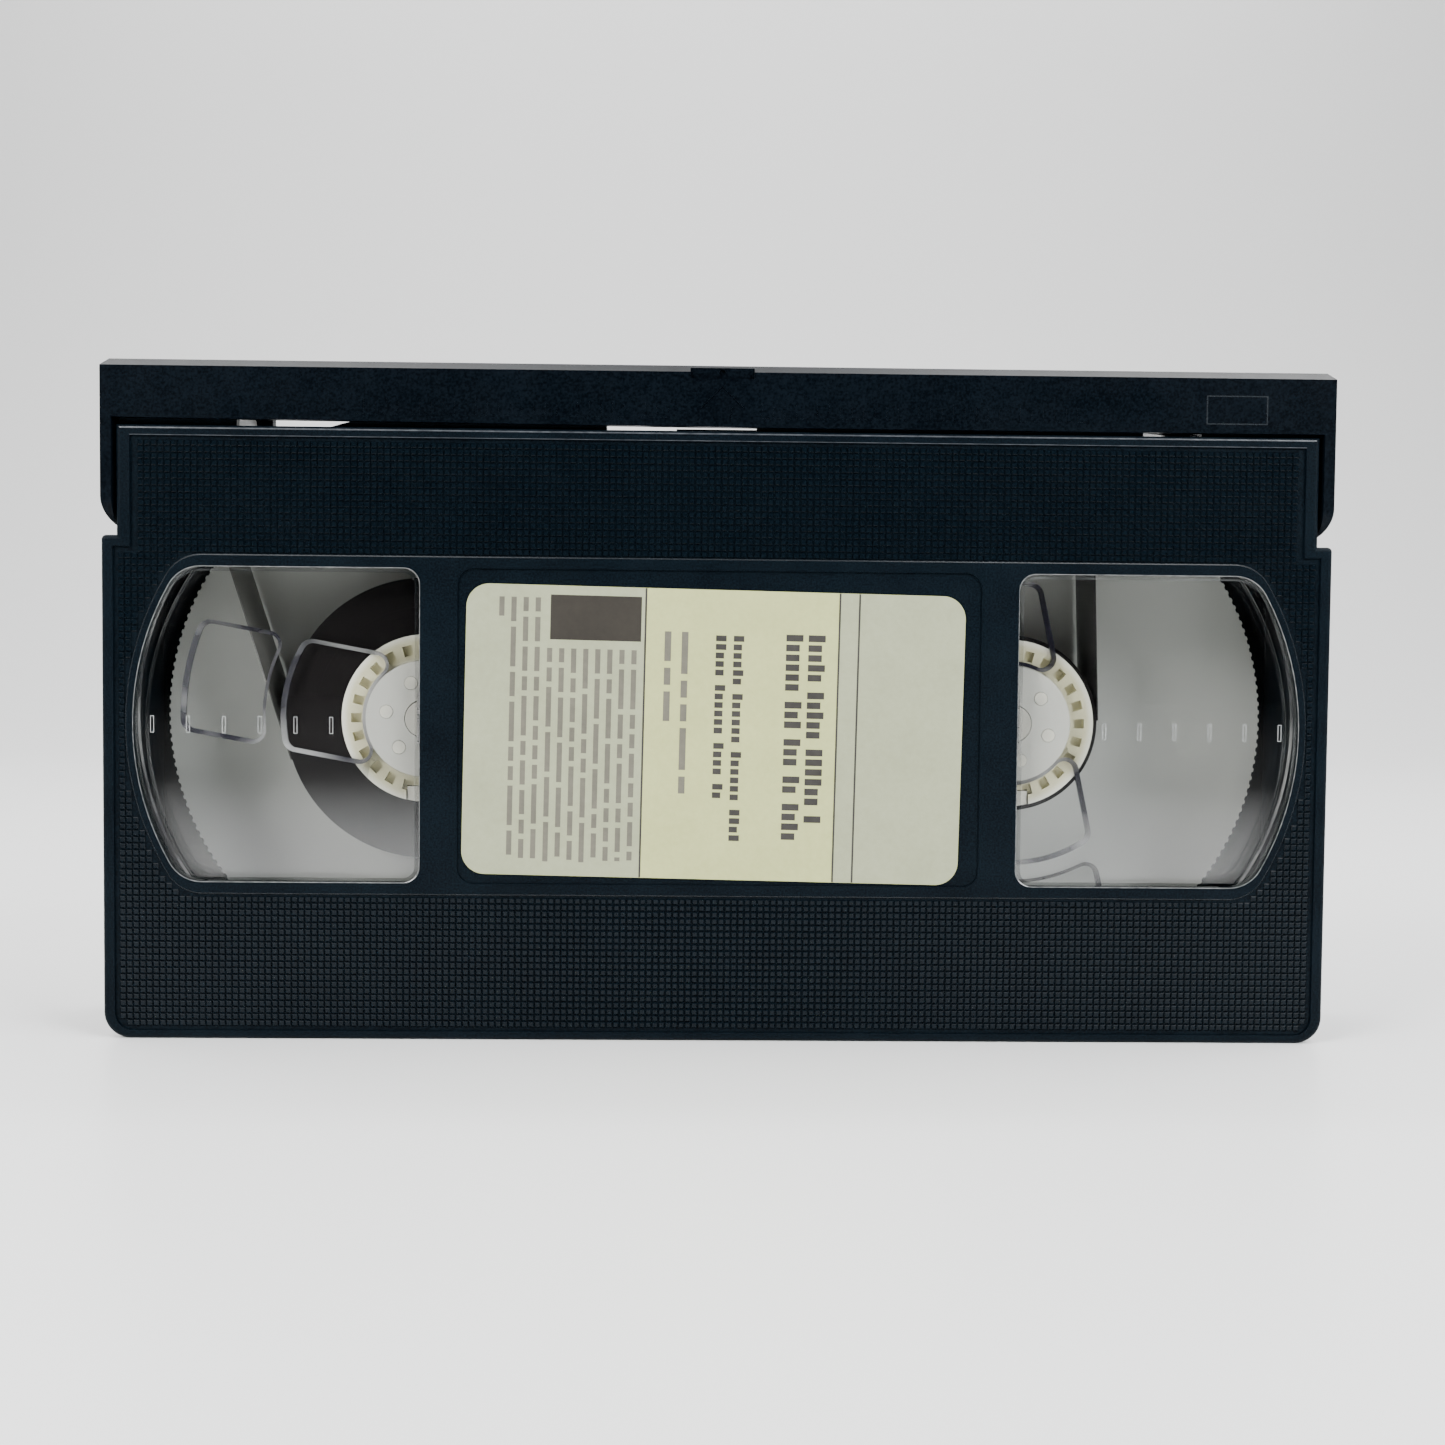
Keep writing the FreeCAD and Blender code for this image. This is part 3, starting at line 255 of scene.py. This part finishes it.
def clear_plastic(name, tint, smear, painted_wall_tones, painted_wall_share, cap=None):
    """Clear polystyrene: sheet faces; side walls in an opaque dark-to-pale grey, painted shade and
    highlight that show them as lines; and a milky cap if asked.
    """
    nodes = Nodes(name)
    surface = sheet(nodes, tint, smear)
    # Painted shade and highlight: side walls get an opaque dark-to-pale grey in place of the lines
    # their clear edges show by refraction and reflection.
    facing = nodes.math("ABSOLUTE", nodes.split(nodes.normal)["Y"])
    side = nodes.ranged(facing, 0.72, 0.95, painted_wall_share, 0.0)
    wall = nodes.add("ShaderNodeBsdfPrincipled")
    tone = nodes.ramp(nodes.noise(75.0, 2.0), [(0.46, painted_wall_tones[0]), (0.66, painted_wall_tones[1])])
    nodes.link(tone, wall.inputs["Base Color"])
    wall.inputs["Roughness"].default_value = 0.10
    wall.inputs["Specular IOR Level"].default_value = 0.6
    surface = nodes.mix(side, surface, wall.outputs[0])
    if cap:
        milk = nodes.add("ShaderNodeBsdfPrincipled")
        milk.inputs["Base Color"].default_value = (*cap, 1.0)
        milk.inputs["Roughness"].default_value = 0.35
        share = nodes.ranged(nodes.reel_radius(), 0.0088, 0.0091, 0.62, 0.0)
        surface = nodes.mix(share, surface, milk.outputs[0])
    nodes.link(surface, nodes.out.inputs["Surface"])
    return nodes.material


def tape_edge(name):
    """The wound side of the tape: very fine rings about both reels, dark and slightly brown."""
    nodes = Nodes(name)
    radius = nodes.reel_radius()
    rings = nodes.add("ShaderNodeTexNoise", noise_dimensions="1D",
                      Scale=4200.0, Detail=4.0, Roughness=0.7)
    nodes.link(radius, rings.inputs["W"])
    colour = shade((0.003, 0.0028, 0.003), (0.011, 0.009, 0.009), nodes, rings.outputs["Fac"])
    shader = principled(nodes, colour, 0.32, specular=0.22, Anisotropic=0.5)
    nodes.link(nodes.bump(rings.outputs["Fac"], 0.5, 0.00003), shader.inputs["Normal"])
    return nodes.material


def hub_white(name):
    """One moulding in natural white: creamier and more see-through at the hub than at the disc."""
    nodes = Nodes(name)
    place = nodes.ranged(nodes.reel_radius(), 0.0, 0.044, 0.0, 1.0)
    tone = nodes.ramp(place, [(0.10, (0.46, 0.45, 0.40)), (0.19, (0.70, 0.69, 0.58)),
                              (0.22, (0.60, 0.57, 0.38)), (0.27, (0.62, 0.59, 0.40)),
                              (0.29, (0.78, 0.77, 0.66)), (0.36, (0.64, 0.65, 0.61))])
    mottle = nodes.noise(160.0, 3.0)
    mix = nodes.add("ShaderNodeMixRGB", blend_type="MULTIPLY")
    mix.inputs[0].default_value = 0.16
    nodes.link(tone, mix.inputs[1])
    nodes.link(shade((0.82, 0.82, 0.82), (1.0, 1.0, 1.0), nodes, mottle), mix.inputs[2])
    gloss = nodes.ranged(nodes.noise(300.0, 3.0), 0.3, 0.7, 0.3, 0.42)
    shader = principled(nodes, mix.outputs[0], gloss, specular=0.5)
    nodes.link(nodes.bump(nodes.noise(2600.0), 0.4, 0.00001), shader.inputs["Normal"])
    return nodes.material


def paper(name, low, high, rough=0.62):
    """Paper or print on it: fibres and slow clouds in one tone."""
    nodes = Nodes(name)
    fibre = nodes.noise(900.0, 5.0, 0.7)
    cloud = nodes.noise(140.0, 4.0, 0.6)
    tone = nodes.math("ADD", nodes.math("MULTIPLY", fibre, 0.5), nodes.math("MULTIPLY", cloud, 0.5))
    colour = shade(low, high, nodes, tone)
    shader = principled(nodes, colour, rough, specular=0.35)
    nodes.link(nodes.bump(fibre, 0.4, 0.00001), shader.inputs["Normal"])
    return nodes.material


SHELL = moulded("shell_black", (0.0004, 0.0014, 0.0028), (0.0036, 0.0080, 0.0122),
                0.40, 3600.0, 0.000003,
                0.06, 0.02, 0.0, 0.12)
STUDS = moulded("stud_black", (0.0010, 0.0028, 0.0048), (0.0026, 0.0062, 0.0096),
                0.22, 2200.0, 0.000003,
                0.15, 0.02)
LID = moulded("lid_black", (0.0002, 0.0010, 0.0022), (0.0030, 0.0054, 0.0084),
              0.36, 3000.0, 0.00001,
              0.05, 0.06, 0.45, 0.12)
LATCH = moulded("latch_black", (0.010, 0.010, 0.011), (0.016, 0.016, 0.018),
                0.36, 3000.0, 0.00003)
REEL = hub_white("reel_white")
CLIP = moulded("clip_white", (0.60, 0.58, 0.50), (0.68, 0.66, 0.58), 0.36, 2600.0, 0.00001)
TAPE_EDGE = tape_edge("tape_wound")
TAPE = tape_side("tape_coated")
ROLLER = moulded("roller_acetal", (0.60, 0.60, 0.57), (0.70, 0.70, 0.67), 0.3, 2600.0, 0.00001)
BRAKE = moulded("brake_acetal", (0.50, 0.50, 0.47), (0.62, 0.62, 0.58), 0.36, 2600.0, 0.00001)
LEAF = moulded("leaf_film", (0.20, 0.13, 0.06), (0.30, 0.20, 0.10), 0.28, 2600.0, 0.00001)
SPRING = metal("spring_steel", (0.52, 0.51, 0.49), (0.66, 0.65, 0.63), 0.30, (1.0, 1.0, 9.0))
POLISHED = metal("polished_steel", (0.70, 0.70, 0.69), (0.80, 0.80, 0.80), 0.14, (1.0, 9.0, 1.0))
RIVET = metal("rivet_brass", (0.60, 0.46, 0.24), (0.72, 0.58, 0.34), 0.30, (1.0, 1.0, 1.0))
SCREW = metal("screw_zinc", (0.46, 0.45, 0.42), (0.60, 0.59, 0.56), 0.32, (1.0, 1.0, 1.0))
# The wall tones given here are painted shade and highlight for the clear edges.
WINDOW = clear_plastic("window_clear", (0.992, 0.994, 0.992), 0.09,
                       ((0.020, 0.024, 0.026), (0.20, 0.21, 0.21)), 0.26)
FLANGE = clear_plastic("flange_clear", (0.985, 0.987, 0.985), 0.12,
                       ((0.020, 0.019, 0.030), (0.38, 0.38, 0.375)), 0.92, (0.72, 0.72, 0.66))
LABEL = paper("label_cream", (0.45, 0.47, 0.20), (0.54, 0.56, 0.25))
LABEL_GREY = paper("label_grey", (0.31, 0.33, 0.21), (0.38, 0.40, 0.26))
LABEL_BOX = paper("label_box", (0.018, 0.015, 0.011), (0.032, 0.027, 0.020))
INK = paper("label_ink", (0.022, 0.020, 0.018), (0.050, 0.046, 0.042), 0.5)
INK_PALE = paper("label_ink_pale", (0.110, 0.104, 0.080), (0.170, 0.160, 0.125), 0.5)
# Lighter than the shell; on the band rim this is a painted highlight along the band's bevel.
BAND_EDGE = moulded("band_edge", (0.010, 0.013, 0.016), (0.020, 0.024, 0.028),
                    0.22, 2200.0, 0.000004, 0.6)
# Grey on a clear pane's bevel: a painted highlight, on top of the lamps' own reflection in the bevel.
PANE_EDGE_HIGHLIGHT = moulded("pane_edge_highlight", (0.06, 0.064, 0.065), (0.22, 0.23, 0.23),
                    0.18, 900.0, 0.000004, 0.6)
PANE_MARK = moulded("pane_mark", (0.30, 0.31, 0.31), (0.48, 0.49, 0.48),
                    0.18, 900.0, 0.000004, 0.6)
# A lighter black: painted highlight for fine edges that catch the light.
DECK_HIGHLIGHT = moulded("deck_line", (0.020, 0.024, 0.030), (0.075, 0.082, 0.092),
                    0.30, 700.0, 0.000004, 0.5)

FINISHES = {
    "upper_shell": SHELL, "lower_shell": SHELL, "left_window": WINDOW, "right_window": WINDOW,
    "face_label": LABEL, "front_lid": LID, "lid_spring": SPRING, "lid_latch": LATCH,
    "latch_spring": SPRING, "supply_hub": REEL, "takeup_hub": REEL, "supply_clear_flange": FLANGE,
    "takeup_clear_flange": FLANGE, "supply_leader_clip": CLIP, "takeup_leader_clip": CLIP,
    "supply_tape_pack": TAPE_EDGE, "takeup_tape_pack": TAPE_EDGE, "tape_run": TAPE,
    "supply_guide_roller": ROLLER, "roller_pin": POLISHED, "takeup_guide": POLISHED,
    "inner_guide_pin": POLISHED, "slack_leaf": LEAF, "reel_spring": SPRING,
    "reel_spring_rivets": RIVET, "takeup_brake_pawl": BRAKE, "supply_brake_pawl": BRAKE,
    "brake_spring": SPRING, "brake_release_lever": BRAKE, "shell_screws": SCREW,
}
for name, finish in FINISHES.items():
    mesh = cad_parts[name].data
    mesh.materials.clear()
    mesh.materials.append(finish)


# Added pieces

def mesh_piece(name, points, faces, material, body):
    """A new piece from points in millimetres, riding on a body."""
    mesh = bpy.data.meshes.new(name)
    mesh.from_pydata([(x * MM, y * MM, z * MM) for x, y, z in points], [], faces)
    mesh.validate()
    mesh.update()
    mesh.materials.append(material)
    piece = bpy.data.objects.new(name, mesh)
    bpy.context.scene.collection.objects.link(piece)
    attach(piece, body)
    return piece


def in_band(x, z, margin):
    """True where the smooth band, grown by the margin, covers the point."""
    px, pz = abs(x) - REEL_X, abs(z - BAND_Z)
    if pz > BAND_HALF_H + margin:
        return False
    turn_z = BAND_HALF_H - BAND_BLEND
    turn_x = math.sqrt((BAND_R - BAND_BLEND) ** 2 - turn_z ** 2)
    if px <= turn_x:
        return True
    dx, dz = px - turn_x, pz - turn_z
    if dz > 0 and math.atan2(dz, dx) > math.atan2(turn_z, turn_x):
        return math.hypot(dx, dz) <= BAND_BLEND + margin
    return math.hypot(px, pz) <= BAND_R + margin


def in_field(x, z, margin):
    """True where the sunk stud field, shrunk by the margin, covers the point."""
    low, high, half = FIELD_LOW_Z + margin, FIELD_TOP_Z - margin, FIELD_HALF_W - margin
    if abs(x) > half or z < low or z > high:
        return False
    if z > NECK_Z - margin and abs(x) > NECK_FIELD_HALF_W - margin:
        return False
    dx, dz = abs(x) - (FIELD_HALF_W - FIELD_CORNER), (FIELD_LOW_Z + FIELD_CORNER) - z
    return not (dx > 0 and dz > 0 and math.hypot(dx, dz) > FIELD_CORNER - margin)


def ring_sides(faces, start, count):
    """The side faces between two rings of points that follow each other."""
    for k in range(count):
        n = (k + 1) % count
        faces.append([start + k, start + n, start + count + n, start + count + k])


def field_studs():
    """The moulded grip texture: small square studs on a one-millimetre grid."""
    foot, top, rise, bevel, clear, sink = 0.44, 0.29, 0.27, 0.15, 0.08, 0.02
    columns, rows, shift_x, shift_z = range(-92, 93), range(0, 93), 0.5, 0.4
    field_margin, band_margin, uneven, lean = 0.1, 0.15, 0.006, 0.004
    reach = foot + clear
    points, faces = [], []
    for i in columns:
        for j in rows:
            x, z = i + shift_x, j + shift_z
            corners = [(x + a * reach, z + b * reach) for a, b in SQUARE]
            if not all(in_field(a, b, field_margin) and not in_band(a, b, band_margin)
                       for a, b in corners):
                continue
            start = len(points)
            high = FIELD_FLOOR_Y - rise + rng.uniform(-uneven, uneven)
            lean_x, lean_z = rng.uniform(-lean, lean), rng.uniform(-lean, lean)
            for half, y in ((foot, FIELD_FLOOR_Y + sink), (foot, high + bevel), (top, high)):
                for a, b in SQUARE:
                    tilt = (a * lean_x + b * lean_z) if half == top else 0.0
                    points.append((x + a * half, y + tilt, z + b * half))
            faces.append(list(range(start + 8, start + 12)))
            ring_sides(faces, start, 4)
            ring_sides(faces, start + 4, 4)
    return mesh_piece("field_studs", points, faces, STUDS, "root")


field_studs()


def outer_path(half_h, radius, blend, grow):
    """Right-hand outline of a round-ended shape about the reel's centre, from top to bottom."""
    turn_z = half_h - blend
    turn_x = math.sqrt((radius - blend) ** 2 - turn_z ** 2)
    swing = math.atan2(turn_z, turn_x)
    path = []
    for centre, r, start, end, steps in (((turn_x, turn_z), blend, math.pi / 2, swing, 10),
                                         ((0.0, 0.0), radius, swing, -swing, 40),
                                         ((turn_x, -turn_z), blend, -swing, -math.pi / 2, 10)):
        for k in range(steps + 1):
            turn = start + (end - start) * k / steps
            path.append((centre[0] + (r + grow) * math.cos(turn),
                         centre[1] + (r + grow) * math.sin(turn)))
    return path


def band_path(grow):
    """Outline of the smooth band, round at both ends."""
    half = [(REEL_X + x, BAND_Z + z)
            for x, z in outer_path(BAND_HALF_H, BAND_R, BAND_BLEND, grow)]
    return half + [(-x, z) for x, z in reversed(half)]


def pane_path(side, grow):
    """Outline of a window: round on the outside, with small corners on the inside."""
    path = [(REEL_X + x, BAND_Z + z)
            for x, z in outer_path(PANE_HALF_H, PANE_R, PANE_BLEND, grow)]
    centre_x, centre_z = PANE_IN + PANE_CORNER, PANE_HALF_H - PANE_CORNER
    for sz, start in ((-1, -math.pi / 2), (1, math.pi)):
        for k in range(9):
            turn = start - math.pi / 2 * k / 8
            path.append((centre_x + (PANE_CORNER + grow) * math.cos(turn),
                         BAND_Z + sz * centre_z + (PANE_CORNER + grow) * math.sin(turn)))
    return [(side * x, z) for x, z in path]


def ribbon(points, faces, first, first_y, second, second_y):
    """A closed strip between two outlines that have the same number of points."""
    start = len(points)
    points += [(x, first_y, z) for x, z in first] + [(x, second_y, z) for x, z in second]
    ring_sides(faces, start, len(first))


# Painted highlight: a lighter strip along the band's edge bevel, where the bevel catches the light.
points, faces = [], []
ribbon(points, faces, band_path(-0.02), FACE_Y - 0.005, band_path(0.20), FACE_Y + 0.20)
mesh_piece("band_rim_highlight", points, faces, BAND_EDGE, "root")

# Painted highlight: the window's bevel is given a grey tone so that it shows as a light line.
points, faces = [], []
for side in (-1, 1):
    ribbon(points, faces, pane_path(side, -0.03), PANE_Y + 0.02, pane_path(side, 0.10), PANE_Y - 0.05)
mesh_piece("window_trim_highlight", points, faces, PANE_EDGE_HIGHLIGHT, "root")

points, faces = [], []
for side in (-1, 1):
    for k in range(MARK_COUNT):
        x = side * (REEL_X + MARK_FIRST + k * MARK_STEP)
        box = [[(x + a * w, BAND_Z + b * h) for a, b in SQUARE]
               for w, h in ((0.19, 1.19), (0.28, 1.28))]
        ribbon(points, faces, box[0], PANE_Y - 0.01, box[1], PANE_Y - 0.01)
mesh_piece("window_marks", points, faces, PANE_MARK, "root")

# Painted highlights for fine lit edges: along the deck behind the lid, and along the top of the stud
# field
points, faces = [], []
for half, z0, y0, z1, y1 in ((DECK_HALF_W, 92.50, -12.52, 92.72, -12.46),
                             (NECK_FIELD_HALF_W, 91.50, -12.505, 91.60, -12.505)):
    start = len(points)
    points += [(-half, y0, z0), (half, y0, z0), (half, y1, z1), (-half, y1, z1)]
    faces.append([start, start + 1, start + 2, start + 3])
mesh_piece("deck_painted_highlights", points, faces, DECK_HIGHLIGHT, "root")


# Print on the label, in the label's own frame: x to the right, z up, turned with the paper
LABEL_TURN = math.radians(1.05)
LABEL_AT = (-0.9, 47.0)
LABEL_HALF_H = 22.05
LABEL_CORNER = 3.45


def on_label(x, z):
    """A place on the label, in the frame's own x and z."""
    c, s = math.cos(LABEL_TURN), math.sin(LABEL_TURN)
    return (LABEL_AT[0] + x * c + z * s, LABEL_AT[1] - x * s + z * c)


class Print:
    """Flat ink patches on the label."""

    def __init__(self, lift):
        self.y = LABEL_Y - lift
        self.points, self.faces = [], []

    def patch(self, x0, x1, z0, z1):
        self.outline([(x0, z0), (x1, z0), (x1, z1), (x0, z1)])

    def outline(self, places):
        start = len(self.points)
        for x, z in places:
            a, b = on_label(x, z)
            self.points.append((a, self.y, b))
        self.faces.append(list(range(start, start + len(places))))

    def make(self, name, material):
        return mesh_piece(name, self.points, self.faces, material, "root")


def rounded_end(side, x0, x1, half_h, r):
    """A panel whose outer corners are rounded as the label's are."""
    out = x1 if side > 0 else x0
    inner = x0 if side > 0 else x1
    places = [(inner, -half_h)]
    for sz in (-1, 1):
        for k in range(9):
            turn = math.pi / 2 * k / 8
            if sz < 0:
                a, b = math.sin(turn), -math.cos(turn)
            else:
                a, b = math.cos(turn), math.sin(turn)
            places.append((out - side * r + side * r * a, sz * (half_h - r) + r * b))
    places.append((inner, half_h))
    return places


tones = Print(0.006)
tones.outline(rounded_end(-1, -37.9, -10.9, LABEL_HALF_H, LABEL_CORNER))
tones.outline(rounded_end(1, 18.9, 37.9, LABEL_HALF_H, LABEL_CORNER))
tones.make("label_end_panels", LABEL_GREY)

box = Print(0.012)
box.patch(-25.2, -11.4, 13.9, 20.7)
box.make("label_box_panel", LABEL_BOX)

ink = Print(0.014)
for x in (-10.75, 18.75, 21.75):
    ink.patch(x - 0.14, x + 0.14, -LABEL_HALF_H, LABEL_HALF_H)


def greek_line(patch, x, z_top, z_low, tall, letter, words, whole):
    """One line of stand-in print that runs downwards: words as plain bars, or as blocks."""
    z = z_top
    while z > z_low + letter:
        count = min(rng.choice(words), int((z - z_low) / letter))
        if whole:
            patch(x - tall / 2, x + tall / 2, z - letter * (count - 0.25), z)
        else:
            for k in range(count):
                high = tall if k == 0 or rng.random() < 0.25 else tall * 0.8
                patch(x - tall / 2, x - tall / 2 + high, z - letter * (k + 0.68), z - letter * k)
        z -= letter * (count + 0.8)


for x, low in ((15.4, -14.2), (12.0, -17.6)):
    greek_line(ink.patch, x, 15.6, low, 2.6, 1.5, (2, 3, 5, 6), False)
for x, low in ((3.5, -17.2), (0.8, -11.0)):
    greek_line(ink.patch, x, 15.2, low, 1.6, 1.3, (4, 5, 6), False)
ink.make("label_print", INK)

small = Print(0.014)
for x, low in ((-4.7, -10.2), (-7.3, 1.0)):
    greek_line(small.patch, x, 15.6, low, 1.0, 0.95, (3, 5, 7), True)
LINE_STEP, TEXT_LOW = 1.83, -20.2
for k in range(8):
    greek_line(small.patch, -12.4 - LINE_STEP * k, 12.6, TEXT_LOW, 0.8, 0.78, (3, 5, 8), True)
for k, low in enumerate((TEXT_LOW, TEXT_LOW, TEXT_LOW, 16.8)):
    greek_line(small.patch, -27.1 - LINE_STEP * k, 20.2, low, 0.8, 0.78, (3, 5, 8), True)
small.make("label_small_print", INK_PALE)


# Moulded marks on the lid: two rows of stand-in print and an empty frame, in low relief
class Relief:
    """Low raised patches on the lid's front face, each a small box."""

    def __init__(self, rise):
        self.rise = rise
        self.points, self.faces = [], []

    def patch(self, x0, x1, z0, z1):
        start = len(self.points)
        for y in (FACE_Y + 0.03, FACE_Y - self.rise):
            self.points += [(x0, y, z0), (x1, y, z0), (x1, y, z1), (x0, y, z1)]
        self.faces.append(list(range(start + 4, start + 8)))
        ring_sides(self.faces, start, 4)


LID_RISE = 0.03
lid_marks = Relief(LID_RISE)


def along_lid(x0, x1, z0, z1):
    """Lines are laid out running down, so on the lid they are turned to run to the right."""
    lid_marks.patch(-z1, -z0, x0, x1)


for start, end in ((-55.2, -6.4), (6.0, 56.2)):
    greek_line(along_lid, 96.2, -start, -end, 2.4, 1.75, (2, 4, 5, 8), False)
mesh_piece("lid_marks", lid_marks.points, lid_marks.faces, LID, "lid")

frame_marks = Relief(LID_RISE)
for x0, x1, z0, z1 in ((73.6, 83.0, 99.1, 99.3), (73.6, 83.0, 94.9, 95.1),
                       (73.6, 73.8, 95.1, 99.1), (82.8, 83.0, 95.1, 99.1)):
    frame_marks.patch(x0, x1, z0, z1)
mesh_piece("lid_frame", frame_marks.points, frame_marks.faces, BAND_EDGE, "lid")


# Stage, light and camera

def stage_mesh(name, points, faces, colour, rough):
    """A pale sheet whose near end, past the camera, is painted dark: painted shade for the dark of
    the room.
    """
    nodes = Nodes(name + "_finish")
    # Painted shade: the sheet's colour darkens towards its near end, behind the camera.
    painted_shade = nodes.ranged(nodes.split(nodes.where)["Y"], -0.52, -0.22, 0.0, 0.96)
    place = nodes.math("ADD", painted_shade, nodes.math("MULTIPLY", nodes.noise(3.0, 2.0), 0.04))
    low = tuple(c * 0.985 for c in colour)
    tone = nodes.ramp(place, [(0.0, (0.03, 0.03, 0.03)), (0.96, low), (1.0, colour)])
    principled(nodes, tone, rough, specular=0.4)
    mesh = bpy.data.meshes.new(name)
    mesh.from_pydata(points, [], faces)
    mesh.update()
    for face in mesh.polygons:
        face.use_smooth = True
    mesh.materials.append(nodes.material)
    thing = bpy.data.objects.new(name, mesh)
    bpy.context.scene.collection.objects.link(thing)
    thing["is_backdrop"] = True
    return thing


def studio_sweep():
    """A floor that bends up into a backdrop."""
    half, near, far, tall, bend = 3.0, -2.0, 1.9, 2.6, 1.2
    profile = [(near, 0.0), (far - bend, 0.0)]
    for k in range(1, 25):
        turn = math.pi / 2 * k / 24
        profile.append((far - bend + bend * math.sin(turn), bend - bend * math.cos(turn)))
    profile.append((far, tall))
    points = [(x, y, z) for y, z in profile for x in (-half, half)]
    faces = [[2 * i, 2 * i + 1, 2 * i + 3, 2 * i + 2] for i in range(len(profile) - 1)]
    return stage_mesh("studio_sweep", points, faces, (0.89, 0.89, 0.885), 0.32)


studio_sweep()


def area(name, place, target, size, power, colour=(1.0, 1.0, 1.0)):
    """A rectangular light at a place, turned to its target."""
    light = bpy.data.lights.new(name, "AREA")
    light.shape = "RECTANGLE"
    light.size, light.size_y = size
    light.energy = power
    light.color = colour
    thing = bpy.data.objects.new(name, light)
    thing.location = place
    away = Vector(place) - Vector(target)
    thing.rotation_euler = away.to_track_quat("Z", "Y").to_euler()
    bpy.context.scene.collection.objects.link(thing)
    return thing


MIDDLE = (0.0, 0.0, 0.05)
area("top_left", (-0.52, 0.02, 0.85), MIDDLE, (0.76, 0.9), 8.0)
area("top_right", (0.54, 0.02, 0.85), MIDDLE, (0.76, 0.9), 11.0)
area("front_left", (-0.85, -0.75, 0.75), MIDDLE, (0.5, 0.6), 21.5)
area("front_right", (0.85, -0.75, 0.70), MIDDLE, (0.5, 0.6), 20.5, (0.94, 0.97, 1.0))
area("sweep_wash", (0.0, 0.7, 1.8), (0.0, 1.9, 0.7), (2.4, 0.6), 38.5)

world = bpy.data.worlds.new("studio")
world.use_nodes = True
bpy.context.scene.world = world
tree = world.node_tree
back = tree.nodes["Background"]
way = tree.nodes.new("ShaderNodeTexCoord")
parts = tree.nodes.new("ShaderNodeSeparateXYZ")
tree.links.new(way.outputs["Generated"], parts.inputs[0])
fade = tree.nodes.new("ShaderNodeMapRange")
for key, value in (("From Min", -0.75), ("From Max", 0.6), ("To Min", 0.004), ("To Max", 0.50)):
    fade.inputs[key].default_value = value
tree.links.new(parts.outputs["Y"], fade.inputs["Value"])
tree.links.new(fade.outputs["Result"], back.inputs["Strength"])
back.inputs["Color"].default_value = (0.96, 0.98, 1.0, 1.0)

# Camera solved from the photograph: lens, place, and its right, down and forward directions
LENS, SENSOR = 40.38, 36.0
CAMERA_AT = (-4.158, -259.095, 58.670)
PITCH, YAW, ROLL = 0.0394, -0.0187, 0.0092


def turn_about(axis, angle):
    """A rotation about one axis of the camera."""
    c, s = math.cos(angle), math.sin(angle)
    if axis == "x":
        return Matrix(((1, 0, 0), (0, c, -s), (0, s, c)))
    if axis == "y":
        return Matrix(((c, 0, s), (0, 1, 0), (-s, 0, c)))
    return Matrix(((c, -s, 0), (s, c, 0), (0, 0, 1)))


rows = turn_about("z", ROLL) @ turn_about("x", PITCH) @ turn_about("y", YAW)
right, down, forward = [Vector((r[0], r[2], -r[1])) for r in rows]
camera = bpy.data.objects.new("camera", bpy.data.cameras.new("camera"))
camera.data.sensor_width = SENSOR
camera.data.lens = LENS
camera.data.clip_start = 0.01
camera.data.clip_end = 20.0
turned = Matrix((right, -down, -forward)).transposed().to_4x4()
turned.translation = Vector(CAMERA_AT) * MM
camera.matrix_world = turned
bpy.context.scene.collection.objects.link(camera)
bpy.context.scene.camera = camera

low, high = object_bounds()
